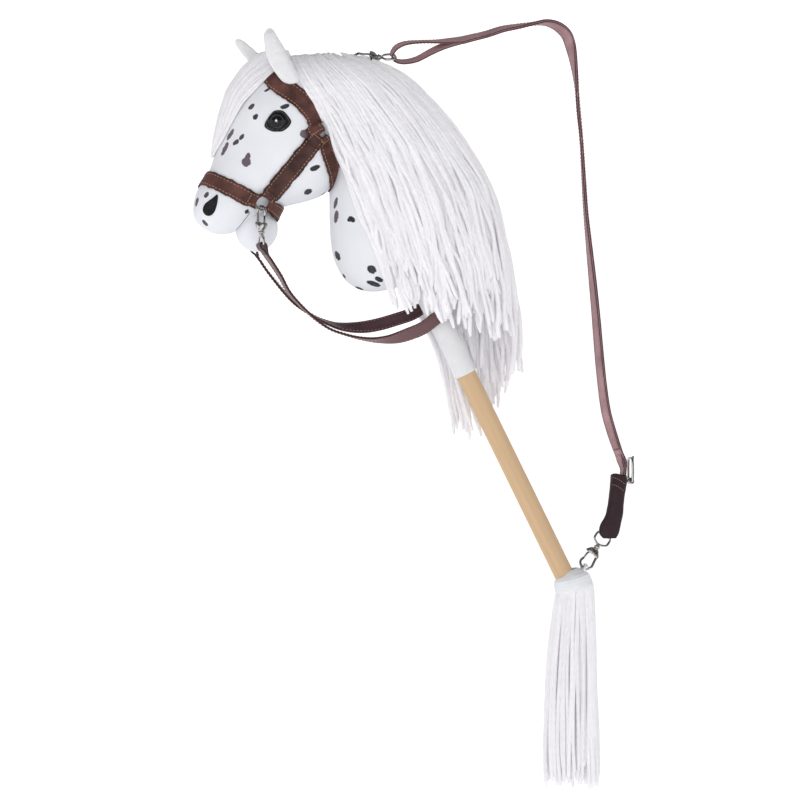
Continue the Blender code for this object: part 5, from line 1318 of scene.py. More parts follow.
def snap(name, hold, towards, wire, outward, eye_across, eye_extra=0.0):
    """A swivel snap of three pieces; returns the middle of its eye's far bar."""
    across = wire * math.cos(HOOK_YAW) + outward * math.sin(HOOK_YAW)
    across = (across - towards * across.dot(towards)).normalized()
    # frame_at takes the axis out of the hook's plane, so x is across and y runs towards the crown
    place = frame_at(hold, across, across.cross(towards))

    def at(x, y, z=0.0):
        return place @ Vector((x, y, z))

    crown = [at(-HOOK_MIDDLE + 0.0008, -0.0150), at(-HOOK_MIDDLE + 0.0004, -0.0120),
             at(-HOOK_MIDDLE, -0.0085)]
    for i in range(25):
        turn = math.pi * (1 - i / 24)
        crown.append(at(HOOK_MIDDLE * 1.12 * math.cos(turn), CROWN_CENTRE + HOOK_MIDDLE * math.sin(turn)))
    crown.append(at(HOOK_MIDDLE - 0.0004, NOSE_END))
    swell = [1.25, 1.12, 1.0] + [1.0 + 0.12 * math.sin(math.pi * i / 24) for i in range(25)] + [0.95]
    spine = [(-0.0076, -0.0124), (-0.0054, -0.0124), (-0.0030, -0.0142), (0.0012, -0.0142),
             (0.0012, -0.0216), (-0.0038, -0.0216), (-0.0076, -0.0166)]
    cheek_plate = [(-0.0010, -0.0142), (0.0066, -0.0142), (0.0076, -0.0154), (0.0076, -0.0176),
                   (0.0042, -0.0214), (-0.0010, -0.0214)]
    meshes = [tube(crown, HOOK_WIRE / 2, radii=[HOOK_WIRE / 2 * s for s in swell]),
              rounded_plate(place, spine, -PLATE_HALF, PLATE_HALF),
              rounded_plate(place, cheek_plate, SLOT_HALF, PLATE_HALF, 0.0003),
              rounded_plate(place, cheek_plate, -PLATE_HALF, -SLOT_HALF, 0.0003)]
    axis_place = frame_at(hold, across, -towards)
    barrel = [(0.0016, 0.0204), (0.0031, 0.0204), (0.0035, 0.0210), (0.0035, 0.0217), (0.0030, 0.0221),
              (0.0030, 0.0232), (0.0036, 0.0236), (0.0036, 0.0245), (0.0031, 0.0250), (0.0015, 0.0250)]
    meshes.append(lathe(barrel, axis_place, 32))
    meshes.append(tube([at(*GATE_PIVOT, -0.0031), at(*GATE_PIVOT, 0.0031)], 0.0008, 14))
    piece(f"{name}_hook_metal", joined("hook", meshes), nickel, f"{name}_hook", (f"{name}_hook",))

    pivot_place = place @ Matrix.Translation((*GATE_PIVOT, 0.0))
    knuckle = [(0.0010, -0.0012), (0.0022, -0.0012), (0.0022, 0.0012), (0.0010, 0.0012)]
    gate = [lathe(knuckle, pivot_place, 28),
            tube([at(GATE_PIVOT[0] + 0.0002, GATE_PIVOT[1] + 0.0015), at(0.0056, -0.0125), at(*GATE_TIP)],
                 0.0011, 16),
            tube([at(GATE_PIVOT[0] + 0.001, GATE_PIVOT[1]), at(0.0070, -0.0168), at(0.0086, -0.0158)],
                 0.0010, 14, radii=[0.0010, 0.0010, 0.0013])]
    piece(f"{name}_gate_metal", joined("gate", gate), dark_nickel, f"{name}_gate", (f"{name}_gate",))

    eye_place = frame_at(hold, eye_across, eye_across.cross(towards))
    far_bar = EYE_START - EYE_SPAN - eye_extra
    half = SNAP_EYE_WIDTH / 2
    corner = 0.0022
    loop = [(-0.0022, EYE_START), (0.0022, EYE_START), (half - 0.001, EYE_START - 0.0028),
            (half, EYE_START - 0.005), (half, far_bar + corner), (half - corner, far_bar),
            (corner - half, far_bar), (-half, far_bar + corner), (-half, EYE_START - 0.005),
            (0.001 - half, EYE_START - 0.0028)]
    path = rounded([eye_place @ Vector((x, y, 0)) for x, y in loop])
    eye = [tube(path, EYE_WIRE / 2, 16, True),
           tube([at(0, -0.0230), at(0, EYE_START)], 0.0012, 14),
           lathe([(0.0008, 0.0252), (0.0024, 0.0253), (0.0026, 0.0262), (0.0018, 0.0270)], axis_place, 24)]
    piece(f"{name}_eye_metal", joined("eye", eye), nickel, BODY, (f"{name}_eye",))
    return hold + towards * far_bar


HOLD_TURN = math.radians(-100)
hold_out = Vector((math.cos(HOLD_TURN), 0, math.sin(HOLD_TURN)))
hold_along = Vector((-hold_out.z, 0, hold_out.x))
REIN_TURN = math.radians(79)
rein_bar = {}
rein_across = {}
for side, side_name in SIDES.items():
    rein_across[side] = Vector((math.cos(REIN_TURN), side * math.sin(REIN_TURN), 0))
    rein_bar[side] = snap(f"rein_snap_{side_name}", lower_ring[side] + hold_out * RING_MIDDLE, UP, hold_along,
                          ACROSS * side, rein_across[side])
TOP_TOWARDS = level(-0.995, -0.10)
TOP_HOLD = mm(-178.5, 460.9)
crest_centre = TOP_HOLD + TOP_TOWARDS * RING_MIDDLE
hoop("crest_hoop", crest_centre, TOP_TOWARDS.cross(ACROSS), RING_MIDDLE, RING_WIRE, nickel, "neck_ring",
     ("neck_ring",))
top_across = (ACROSS * math.cos(math.radians(25)) + UP * math.sin(math.radians(25))).normalized()
snap("top_snap", TOP_HOLD, TOP_TOWARDS, ACROSS, UP, top_across, 0.0038)
LOW_HOLD = mm(81, -102.5)
LOW_TOWARDS = level(-0.56, -0.83)
low_across = LOW_TOWARDS.cross(ACROSS)
snap("bottom_snap", LOW_HOLD, LOW_TOWARDS, ACROSS, -low_across, low_across, 0.002)

# Buckle
BUCKLE_MIDDLE = mm(133.5, 4.5)
BUCKLE_WIRE = 0.003
BUCKLE_WIDE = 0.0100
BUCKLE_HIGH = 0.0130
BUCKLE_CORNER = 0.003
wide_cut, high_cut = BUCKLE_WIDE - BUCKLE_CORNER, BUCKLE_HIGH - BUCKLE_CORNER
buckle_path = rounded([BUCKLE_MIDDLE + Vector((0, y, z)) for y, z in (
    (-BUCKLE_WIDE, -high_cut), (-wide_cut, -BUCKLE_HIGH), (wide_cut, -BUCKLE_HIGH), (BUCKLE_WIDE, -high_cut),
    (BUCKLE_WIDE, high_cut), (wide_cut, BUCKLE_HIGH), (-wide_cut, BUCKLE_HIGH), (-BUCKLE_WIDE, high_cut))])
piece("buckle_metal", tube(buckle_path, BUCKLE_WIRE / 2, closed=True), nickel, BODY, ("buckle_frame",))
hinge_at = BUCKLE_MIDDLE - UP * BUCKLE_HIGH
hinge_place = frame_at(hinge_at, UP, ACROSS)
PRONG_OUT = BUCKLE_WIRE / 2 + GAP + 0.0011
prong_foot = hinge_at + Vector((PRONG_OUT, 0, 0))
piece("prong_metal", joined("prong", [
    lathe([(0.0018, -0.0020), (0.0038, -0.0020), (0.0040, -0.0014), (0.0040, 0.0014), (0.0038, 0.0020),
           (0.0018, 0.0020)], hinge_place, 32),
    tube([prong_foot, prong_foot + UP * 0.012, prong_foot + UP * (2 * BUCKLE_HIGH + 0.002)], 0.0011, 16)]),
    nickel, "buckle_prong", ("buckle_prong",))


# Rein and carrying strap: free straps, each with threads of its own
def bend(middle, out, back, radius, degrees):
    """Steps of a turn round a bar: places, and the way that the leather's face looks there."""
    ways = [out * math.sin(turn) - back * math.cos(turn) for turn in map(math.radians, degrees)]
    return [(middle + way * radius, way) for way in ways]


def free_rows(strap, stations, normal):
    """Rows through stations of a middle and a width direction, facing as the first normal does."""
    for i, (middle, across) in enumerate(stations):
        before, after = neighbours(stations, i)
        face = (after[0] - before[0]).cross(across).normalized()
        normal = face if face.dot(normal) > 0 else -face
        strap.station(middle, across, normal)
    return normal


REIN_WIDTH = 0.0145
REIN_LEATHER = 0.0022
# Free stretches from the snap to the stick: x, z, out from the horse's plane, share of the turn to face up
REIN_LEFT = [(-285, 241, 35, 0.0), (-270, 219, 33, 0.0), (-258, 199, 30, 0.0), (-237, 178, 26, 0.0),
             (-215, 162, 23, 0.0), (-194, 154.5, 20.5, 0.03), (-176, 150.5, 19, 0.12),
             (-159, 149, 17.5, 0.28), (-141, 150.5, 16, 0.50), (-123, 156, 15, 0.78),
             (-106, 163.5, 14.4, 1.0)]
REIN_RIGHT = [(-285, 241, 35, 0.0), (-271, 221, 33, 0.12), (-249, 195, 29, 0.30), (-227, 178, 25, 0.12),
              (-205, 167.5, 22, 0.32), (-189, 164, 20, 0.48), (-171, 164, 18.5, 0.66), (-153, 167, 17, 0.82),
              (-134, 172.5, 15.8, 0.95), (-113, 180, 14.6, 1.0)]
LOOP_UP = {LEFT: 0.198, RIGHT: 0.215}   # where the turn round the stick starts and ends, up the stick
LOOP_RADIUS = 0.01405
STRAP_INSET = 0.0016                    # from a free strap's edge to its stitching
REIN_END = 0.011                        # the length of the rein's end that is turned up at a snap
REIN_ROWS = 36                          # rows of each free stretch
REIN_TURN_ROWS = 16                     # and of the turn round the stick


def end_rows(strap, bar, across, down, normal):
    """Rows of the rein's end that is turned up round a snap's bar: the hidden end first."""
    q = EYE_WIRE / 2 + GAP + strap.thickness / 2
    flat = strap.thickness / 2 + 0.0002
    steps = [(bar + down * REIN_END - normal * flat, -normal),
             (bar + down * (REIN_END * 0.55) - normal * (flat * 1.1), -normal),
             (bar + down * 0.003 - normal * q * 0.97, -normal)]
    steps += bend(bar, normal, down, q, (-60, -20, 20, 60))
    steps.append((bar + down * 0.003 + normal * q * 0.97, normal))
    for middle, face in steps:
        strap.station(middle, across, face)


def rein():
    """One strap, from the left snap over the turn round the stick to the right snap."""
    strap = Strap(REIN_WIDTH, REIN_LEATHER)
    runs = {}
    for side, rows in ((LEFT, REIN_LEFT), (RIGHT, REIN_RIGHT)):
        points = [Vector((*mm(x, z, side * y), share)) for x, z, y, share in rows]
        points.append(Vector((*(STICK_UP * LOOP_UP[side] + ACROSS * (side * LOOP_RADIUS)), 1.0)))
        start = rein_across[side] * side
        edge_on = VIEW_AHEAD * (start.dot(VIEW_AHEAD) / abs(start.dot(VIEW_AHEAD)))
        runs[side] = []
        for i, p in enumerate(smooth_path(points, REIN_ROWS)):
            flat = start.lerp(edge_on, min(1.0, i / 14))
            runs[side].append((Vector(p[:3]), flat.lerp(STICK_UP * side, p[3]).normalized()))
    down = (runs[LEFT][4][0] - rein_bar[LEFT]).normalized()
    first = runs[LEFT][0][1]
    face = down.cross(first).normalized()
    end_rows(strap, rein_bar[LEFT], first, down, face)
    face = free_rows(strap, runs[LEFT], face)
    stations = []
    for i in range(1, REIN_TURN_ROWS):
        turn = math.pi * (i / REIN_TURN_ROWS - 0.5)
        height = LOOP_UP[LEFT] + (LOOP_UP[RIGHT] - LOOP_UP[LEFT]) * i / REIN_TURN_ROWS
        middle = STICK_UP * height + (-STICK_FRONT * math.cos(turn) + ACROSS * math.sin(turn)) * LOOP_RADIUS
        stations.append((middle, -STICK_UP))
    stations += [(middle, -across) for middle, across in runs[RIGHT][::-1]]
    face = free_rows(strap, stations, face)
    mirror = Strap(REIN_WIDTH, REIN_LEATHER)
    down = (runs[RIGHT][4][0] - rein_bar[RIGHT]).normalized()
    end_rows(mirror, rein_bar[RIGHT], stations[-1][1], down, face)
    strap.rows += mirror.rows[::-1]
    strap.finish(4)
    piece("rein_leather", strap.mesh("rein"), dark_leather, replaced=("rein_strap",))
    length = strap.lengths[-1]
    made = strap.stitches(STRAP_INSET, 0.019, length - 0.019)
    made += strap.stitches(STRAP_INSET, 0.036, length - 0.036, under=True)
    for along in (0.0385, length - 0.0385):
        made += strap.cross_stitches(along, STRAP_INSET)
    threads("rein_threads", made, dull_thread)


# The carrying strap: x, z and how far its face is turned towards the left side, in degrees
CARRY_RUN = [(-62, 484, 30), (-51, 487, 27), (-32, 492, 24), (-14, 498, 22), (6, 502, 15), (24, 505.5, 2),
             (36, 506.5, -10), (48, 503, -22), (58, 495, -34), (63, 484, -34), (67, 466, -12), (70.5, 440, 8),
             (73, 410, 18), (76.5, 374, 14), (79, 334, 9), (81.5, 295, 6), (85, 260, 0), (89, 222, -8),
             (93, 180, -14), (97, 134, -18), (100.5, 101, -20), (105, 70, -22), (112, 45, -22),
             (119, 25, -16), (124, 12, -8), (125, 2, 0), (123, -8, 0), (121, -15, 0)]
TEARDROP = [(-57, 485.6, 34), (-87, 482.5, 20), (-105, 481.8, 16), (-123, 480, 20), (-134, 475.5, 25),
            (-139.6, 468.5, 25), (-139.2, 463, 25), (-134, 459.6, 25), (-125, 459, 25), (-112, 462, 28),
            (-98, 469.5, 32), (-86, 475.5, 34), (-74, 480, 34), (-57, 485, 34)]
CARRY_WIDTH = 0.014
LAYER = 0.0018          # the thickness of each of its two layers


def flat_run(rows, count, level_turn=False):
    """Stations of a strap that runs in the horse's plane, each turned about the strap by some degrees.

    With level_turn the width leans up by them instead of out of the strap's own plane.
    """
    steps = smooth_path([Vector(row) for row in rows], count)
    stations = []
    for i, (x, z, turn) in enumerate(steps):
        before, after = neighbours(steps, i)
        along = level(after[0] - before[0], after[1] - before[1])
        sideways = UP if level_turn else Vector((-along.z, 0, along.x))
        across = ACROSS * math.cos(math.radians(turn)) + sideways * math.sin(math.radians(turn))
        stations.append((mm(x, z), across))
    return stations


def carry_strap():
    """Two layers that part a little near the buckle, and the single loop at the top snap."""
    stations = flat_run(CARRY_RUN, 110)
    made = []
    meshes = []
    for layer in (-1, 1):
        strap = Strap(CARRY_WIDTH, LAYER)
        free_rows(strap, stations, Vector((0, -0.3, 1)))
        last = len(strap.rows) - 1
        for k, (points, normals) in enumerate(strap.rows):
            v = k / last
            apart = 0.00096 + 0.0004 * max(0.0, noise.noise(Vector((v * 9.0, 3.0, 1.0))))
            apart += 0.0013 * math.exp(-((v - 0.885) / 0.018) ** 2)
            drift = 0.0004 * noise.noise(Vector((v * 14.0, layer * 5.0, 2.0)))
            side = (points[-1] - points[0]).normalized()
            moved = [p + n * (layer * apart) + side * drift for p, n in zip(points, normals)]
            strap.rows[k] = (moved, normals)
        strap.finish(2)
        meshes.append(strap.mesh("carry"))
        made += strap.stitches(STRAP_INSET, 0.004, strap.lengths[-1] - 0.004, under=layer < 0)
    loop = Strap(CARRY_WIDTH - 0.0006, LAYER)
    free_rows(loop, flat_run(TEARDROP, 60, True), UP)
    loop.finish(2)
    meshes.append(loop.mesh("teardrop"))
    for under in (False, True):
        made += loop.stitches(STRAP_INSET, 0.014, loop.lengths[-1] - 0.014, under)
    piece("carry_leather", joined("carry", meshes), suede, replaced=("carry_strap",))
    threads("carry_threads", made, dull_thread)


def keeper():
    """A narrow strap round both layers, above the buckle."""
    strap = Strap(0.006, 0.0013)
    along = (mm(124, 12) - mm(112, 45)).normalized()
    place = frame_at(mm(119, 25), ACROSS, along) @ Matrix.Rotation(math.radians(15), 4, "Z")
    wide, flat = CARRY_WIDTH / 2 + 0.0013, 0.0031
    corners = ((-wide, -flat), (wide, -flat), (wide, flat), (-wide, flat))
    path = rounded([place @ Vector((x, y, 0)) for x, y in corners])
    for point in path + [path[0]]:
        strap.station(point, along, (point - place.translation).normalized())
    strap.finish(2)
    piece("keeper_leather", strap.mesh("keeper"), suede, replaced=("strap_keeper",))


# The tab: leather folded round the buckle's foot and the snap's eye; rows: middle x, z, width, depth across
TAB_ROWS = [(119.5, -2, 18, 19), (119.5, -10, 19, 18), (117, -28, 18, 15), (114.5, -46, 20, 12),
            (110, -58, 24, 9.5), (108.5, -67, 23, 8.5), (109, -73, 15, 7.5)]
# Its hollow top and rounded lip: how far in from its outline, how far up from its first row, unevenness
TAB_TOP = [(2.3, -9.0, 0), (2.3, -5.0, 0), (2.3, -1.5, 0), (2.2, 0.6, 1.4), (1.2, 1.3, 1.4), (0.4, 0.9, 1.4)]
# The rows of stitches across its foot, in pixels, and how far out of the horse's plane they lie
TAB_SEAMS = [[(612.5, 484.5), (616, 485.6), (620, 487.8), (624, 491)],
             [(613.2, 477.5), (617, 478.8), (621, 481), (625, 484.2)]]
TAB_SEAM_OUT = 9.25


def tab():
    steps = smooth_path([Vector(row) for row in TAB_ROWS], 34)
    turns = [(math.cos(a), math.sin(a)) for a in around(56)]
    x, z, wide, deep = steps[0]
    rings = []
    for inset, lift, uneven in TAB_TOP:
        rings.append([mm(x + (wide / 2 - inset) * full(c),
                         z + lift + uneven * noise.noise(Vector((c * 1.3, s * 1.3, 2.0))),
                         (deep / 2 - inset) * full(s)) for c, s in turns])
    for x, z, wide, deep in steps:
        ring = []
        for c, s in turns:
            crease = 0.55 * math.sin(z * 0.42 + 1.3 * c + 4 * noise.noise(Vector((c, s, z * 0.03))))
            crease *= math.exp(-((z + 46) / 22) ** 2) * abs(s) ** 0.5
            ring.append(mm(x + (wide / 2 + crease * 0.4) * full(c), z, (deep / 2 + crease) * full(s)))
        rings.append(ring)
    piece("tab_leather", loft("tab", rings), tab_leather, replaced=("carry_tab",))
    stitches = []
    for side in SIDES:
        for seam in TAB_SEAMS:
            row = smooth_path([at_pixel(px, py, side * TAB_SEAM_OUT) for px, py in seam], 31)
            stitches += [row[i:i + 4] for i in range(0, 30, 5)]
    strands("tab_stitches", stitches, [0.00038] * len(stitches), dull_thread)


rein()
carry_strap()
keeper()
tab()


# Ears: plump fleece with a soft crease; rows in pixels from the tip down: front edge, rear edge, and the
# share of the full thickness
NEAR_EAR = [(268.6, 27.9, 271.6, 28.0, 0.18), (265.8, 30, 274, 30.5, 0.42), (263.9, 33, 276, 33.5, 0.6),
            (263.2, 38, 279, 38.5, 0.8), (264, 45, 282.8, 45, 0.95), (265.2, 54, 288, 54, 1.05),
            (269.0, 63, 292.4, 62.5, 1.1), (273.5, 71.5, 296.4, 70, 1.1), (279, 78.5, 299.6, 77, 1.05),
            (286, 85, 301, 84, 0.95)]
FAR_EAR = [(234.6, 41.9, 235.2, 39.9, 0.2), (236.2, 46.5, 238.6, 38.4, 0.5), (238.8, 50, 242.4, 39.7, 0.7),
           (242.2, 54.6, 248, 44.3, 0.9), (247, 60, 253.4, 49.1, 1.0), (252, 67, 261, 55.5, 1.05),
           (259, 74, 269, 63, 1.05)]
EAR_DEEP = 0.0125
CREASE_DEPTH = 0.55     # the share of an ear's thickness that its crease takes
CREASE_WIDTH = 0.30


def ear(name, rows, tip_y, base_y, crease_at, replaced):
    """An ear whose tip and base lie at places out of the horse's plane, in millimetres."""
    rings = []
    last = len(rows) - 1
    for i, (fx, fy, rx, ry, share) in enumerate(rows):
        y = tip_y + (base_y - tip_y) * i / last
        front, rear = at_pixel(fx, fy, y), at_pixel(rx, ry, y)
        middle, half = (front + rear) / 2, (rear - front) / 2
        ring = []
        for turn in around(RING_POINTS):
            across, deep = math.cos(turn), math.sin(turn)
            crease = CREASE_DEPTH * math.exp(-((across - crease_at) / CREASE_WIDTH) ** 2)
            near = 1.0 - crease * (deep > 0) * min(1.0, i / 3)
            ring.append(middle + half * (across * 1.02) - VIEW_AHEAD * (EAR_DEEP / 2 * share * deep * near))
        rings.append(ring)
    mesh = shaped(smoothed(loft("ear_cage", rings), CAGE_LEVELS), fleecy)
    piece(name, mesh, fleece, replaced=replaced)


def fleecy(at, normal):
    """The tufts of fleece, as a move of a point."""
    return normal * (noise.noise(at * 420) * 0.00035 + noise.noise(at * 110) * 0.0005)


def fleece_paint():
    paint = Paint("fleece", (0.80, 0.80, 0.82), 0.95, Sheen_Weight=0.4, Sheen_Roughness=0.6)
    place = paint.place()
    cloud = paint.noise(place, 120.0, 4.0)
    paint.colour(paint.mix(paint.ramp(cloud, 0.3, 0.7), (0.79, 0.79, 0.815), (0.83, 0.83, 0.845)))
    paint.bump(paint.noise(place, 700.0, 4.0, 0.65), 0.55, 0.0012)
    return paint.material


fleece = fleece_paint()
ear("ear_fleece_left", NEAR_EAR, -31, -42, -0.25, ("ear_left",))
ear("ear_fleece_right", FAR_EAR, 31, 25, 0.2, ("ear_right",))

# Eye and nostril patches laid on the head; the near eye patch in pixels, the rest in millimetres
EYE_PATCH = [(264.2, 125.9), (265.1, 122.4), (268.2, 117.5), (271.8, 112.6), (275.3, 110.2), (282, 110.2),
             (285.5, 112.7), (288.6, 116.5), (291.9, 121.6), (289.4, 126.2), (285.8, 129.5), (282, 131.7),
             (273.3, 131.8), (269.5, 130.6), (265.7, 128.4)]
NOSTRIL_OUTLINE = [(8, 13.8), (7.7, 5), (5.6, -4), (2.6, -9.3), (-1.8, -10.8), (-6, -8.5), (-8, -3.5),
                   (-5.8, 2.5), (-1.2, 6), (4, 10)]
NOSTRIL_PLACE = (-345.5, 293.5)
PATCH_LEATHER = 0.0012
# From the middle out: the share of the way to the outline, and of the leather's thickness
PATCH_RINGS = [(0.25, 1.0), (0.5, 1.0), (0.7, 1.0), (0.85, 1.0), (0.93, 0.97), (0.975, 0.8), (1.0, 0.45),
               (1.0, -0.3)]


def flat_places(pixels):
    """The places x, z in millimetres where the photograph's pixels lie on the head."""
    made = []
    for px, py in pixels:
        hit, _ = seen_at(px, py, head_tree)
        made.append((hit.x / MM, hit.z / MM))
    return made


def patch(name, outline, side, replaced, stitch_share, sharp=1):
    """A thin plate of leather on one side of the head, inside an outline of places x, z."""
    middle = Vector((sum(p[0] for p in outline), sum(p[1] for p in outline))) / len(outline)
    edge = [Vector((p.x, p.y)) for p in rounded([Vector((x, z, 0)) for x, z in outline], times=sharp)]
    dense = [p.lerp(after, k / 3) for p, after in zip(edge, edge[1:] + edge[:1]) for k in range(3)]
    count = len(dense)

    def raised(place, height):
        """The point at a height above the head, at a place given in millimetres, and the way out there."""
        hit, normal = side_of_head(place.x, place.y, side)
        return hit + normal * height, normal

    points = [raised(middle + (p - middle) * share, PATCH_LEATHER * rise)[0]
              for share, rise in PATCH_RINGS for p in dense]
    hub = len(points)
    points.append(raised(middle, PATCH_LEATHER)[0])
    faces = [(hub, i, (i + 1) % count) for i in range(count)]
    for row in range(len(PATCH_RINGS) - 1):
        for i in range(count):
            j = (i + 1) % count
            faces.append((row * count + i, (row + 1) * count + i, (row + 1) * count + j, row * count + j))
    faces.append(tuple(range(hub - count, hub)))
    piece(name, outward(mesh_of(name, points, faces)), black_leather, replaced=replaced)
    if stitch_share is None:
        return
    line = [raised(middle + (p - middle) * stitch_share, PATCH_LEATHER + 0.0001) for p in dense]
    paths = []
    for i in range(0, count, 3):
        made = []
        for k, rise in zip((0, 0.6, 1.2, 1.8, 2.4), (-0.5, 0.8, 1.0, 0.8, -0.5)):
            a, b = line[(i + int(k)) % count], line[(i + int(k) + 1) % count]
            made.append(tuple(a[0].lerp(b[0], k - int(k)) + a[1] * (THREAD_LIFT * rise)))
        paths.append(made)
    strands(f"{name}_stitches", paths, [0.00032] * len(paths), grey_thread, sides=6,
            reference=THREAD_REFERENCE)


def black_paint():
    paint = Paint("black_leather", (0.008, 0.008, 0.011), 0.5, Specular_IOR_Level=0.16)
    place = paint.place()
    cloud = paint.noise(place, 160.0, 4.0)
    paint.colour(paint.mix(paint.ramp(cloud, 0.35, 0.7), (0.004, 0.004, 0.006), (0.013, 0.013, 0.017)))
    paint.bump(paint.cells(place, 1400.0), 0.35, 0.0003)
    return paint.material


black_leather = black_paint()
grey_thread = Paint("grey_thread", (0.105, 0.11, 0.12), 0.6).material
# The eye's dome: radius and height above the head, from its rim to its top
EYE_PROFILE = [(0.0086, 0.0007), (0.00975, 0.0009), (0.00985, 0.0018), (0.0094, 0.0026), (0.0084, 0.0033),
               (0.0078, 0.0036), (0.0075, 0.0034), (0.0071, 0.0034), (0.0068, 0.0038), (0.0063, 0.0042),
               (0.0060, 0.0041), (0.0055, 0.0044), (0.0044, 0.0052), (0.0032, 0.0058), (0.0018, 0.00612),
               (0.0006, 0.0062)]
eye_outline = flat_places(EYE_PATCH)
eye_at = flat_places([(277.1, 121.9)])[0]
eye_places = {side: side_of_head(*eye_at, side) for side in SIDES}


EYE_BLACK = (0.003, 0.003, 0.004)


def eye_paint():
    """Gloss black with a paler rim, and a painted highlight: a pale dot just in front of the middle where a
    lamp's reflection would sit.
    """
    paint = Paint("gloss_black", EYE_BLACK, 0.09, Specular_IOR_Level=0.3)
    places = eye_places.values()
    # Painted highlight: a pale dot on each dome that stands for a lamp's reflection
    painted_highlight = paint.distance([hit + out * 0.0061 + Vector((-0.0006, 0, 0.0006)) for hit, out in places])
    rim = paint.distance([hit + out * 0.004 for hit, out in places])
    ring = paint.math("SUBTRACT", paint.ramp(rim, 0.0062, 0.0067), paint.ramp(rim, 0.0070, 0.0075))
    black = paint.mix(ring, EYE_BLACK, (0.045, 0.045, 0.052))
    paint.colour(paint.mix(paint.ramp(painted_highlight, 0.0014, 0.0009), black, (0.85, 0.85, 0.9)))
    return paint.material


gloss_black = eye_paint()
for side, side_name in SIDES.items():
    patch(f"eye_patch_leather_{side_name}", eye_outline, side, (f"eye_patch_{side_name}",), 0.86)
    nostril = [(NOSTRIL_PLACE[0] + x, NOSTRIL_PLACE[1] + z) for x, z in NOSTRIL_OUTLINE]
    patch(f"nostril_leather_{side_name}", nostril, side, (f"nostril_{side_name}",), None, 2)
    hit, out = eye_places[side]
    rows = smooth_path([Vector((*p, 0)) for p in EYE_PROFILE], 60)
    piece(f"eye_dome_{side_name}", lathe([(p.x, p.y) for p in rows], frame_at(hit, UP, out), 64), gloss_black,
          replaced=(f"eye_{side_name}",))

# The seam of the mouth: a dark strand laid where head and lower jaw meet, a painted shadow of the crease
# between them; places in pixels
MOUTH = [(236.0, 229.9), (239.5, 226.2), (243.4, 221.4), (247.0, 216.4), (250.2, 211.6)]
mouth_paths = []
for side in SIDES:
    path = []
    for px, py in MOUTH:
        hit, normal = seen_at(px, py)
        if side == RIGHT:
            hit, normal, _, _ = plush_tree.ray_cast(Vector((hit.x, OUTSIDE * MM, hit.z)), -ACROSS)
        path.append(hit + normal * 0.0001)
    mouth_paths.append([tuple(p) for p in smooth_path(path, 24)])
# Painted shadow: the dark strand stands for the shade in the mouth's crease
seam_shadow_strand = Paint("seam_shadow", (0.16, 0.16, 0.20), 0.9).material
strands("mouth_seam_shadow", mouth_paths, [0.00042] * 2, seam_shadow_strand, sides=8,
        reference=(0.2, 0.9, 0.1))


# Stick, sleeve, tail band and the small loops
STICK_PLACE = frame_at(Vector(), ACROSS, STICK_UP)


def wood_paint():
    paint = Paint("beech", (0.62, 0.42, 0.235), 0.5, Specular_IOR_Level=0.4)
    place = paint.place()
    turned = paint.scaled(place, (1, 1, 1), (0, STICK_LEAN, 0))
    grain = paint.noise(paint.scaled(turned, (210, 210, 7)), 1.0, 4.0, 0.6)
    pores = paint.noise(paint.scaled(turned, (1500, 1500, 60)), 1.0, 2.0)
    band = paint.noise(paint.scaled(turned, (45, 45, 2.2)), 1.0, 2.0)
    tone = paint.sum_of(grain, 0.6, band, 0.4)
    colour = paint.mix(paint.ramp(tone, 0.3, 0.7), (0.56, 0.375, 0.215), (0.63, 0.435, 0.26))
    paint.colour(paint.mix(paint.ramp(pores, 0.62, 0.78, 0.0, 0.3), colour, (0.45, 0.28, 0.15)))
    paint.bump(grain, 0.2, 0.0004)
    return paint.material


def cloth_paint(name, colour, shade, weave):
    paint = Paint(name, colour, 0.85, Sheen_Weight=0.15)
    place = paint.place()
    cloud = paint.noise(place, 60.0, 3.0)
    paint.colour(paint.mix(paint.ramp(cloud, 0.35, 0.65), shade, colour))
    paint.bump(paint.noise(place, weave, 3.0), 0.4, 0.0004)
    return paint.material


beech = wood_paint()
white_cloth = cloth_paint("white_cloth", (0.76, 0.76, 0.775), (0.71, 0.71, 0.73), 1800.0)
band_cloth = cloth_paint("band_cloth", (0.80, 0.81, 0.845), (0.74, 0.75, 0.79), 900.0)
hem_thread = Paint("hem_thread", (0.36, 0.33, 0.32), 0.8).material
STICK_RADIUS = 0.011
STICK_LOW, STICK_HIGH = -0.139, 0.415
STICK_EDGE = 0.0022     # the height of the rounding at each end
stick_profile = [(0.0085, STICK_LOW), (0.0102, STICK_LOW + 0.0006)]
stick_profile += [(STICK_RADIUS, STICK_LOW + STICK_EDGE + (STICK_HIGH - STICK_LOW - 2 * STICK_EDGE) * i / 40)
                  for i in range(41)]
stick_profile += [(0.0102, STICK_HIGH - 0.0006), (0.0085, STICK_HIGH)]
piece("stick_wood", lathe(stick_profile, STICK_PLACE, 64), beech, replaced=("stick",))


def sleeve():
    """Cloth sewn round the stick, snug at its hem, looser and a little creased above."""
    rings = []
    rows = ([(0.0115, 0.1262), (0.0120, 0.1252), (0.01235, 0.1254), (0.01245, 0.1264)]
            + [(0.01248 + 0.0012 * i / 30, 0.128 + 0.182 * i / 30) for i in range(31)])
    for radius, up in rows:
        ring = []
        for turn in around(72):
            fold = 0.0005 * noise.noise(Vector((math.cos(turn) * 1.2, math.sin(turn) * 1.2, up * 22)))
            r = radius + fold * min(1.0, max(0.0, (up - 0.13) / 0.03))
            ring.append(STICK_PLACE @ Vector((r * math.cos(turn), r * math.sin(turn), up)))
        rings.append(ring)
    piece("sleeve_cloth", loft("sleeve", rings), white_cloth, replaced=("neck_sleeve",))
    hem = circle(STICK_PLACE, 0.0118, 0.1256, 96)
    strands("sleeve_hem", [hem + hem[:1]], [0.00045], hem_thread, sides=6,
            reference=STICK_UP, end_share=1.0)


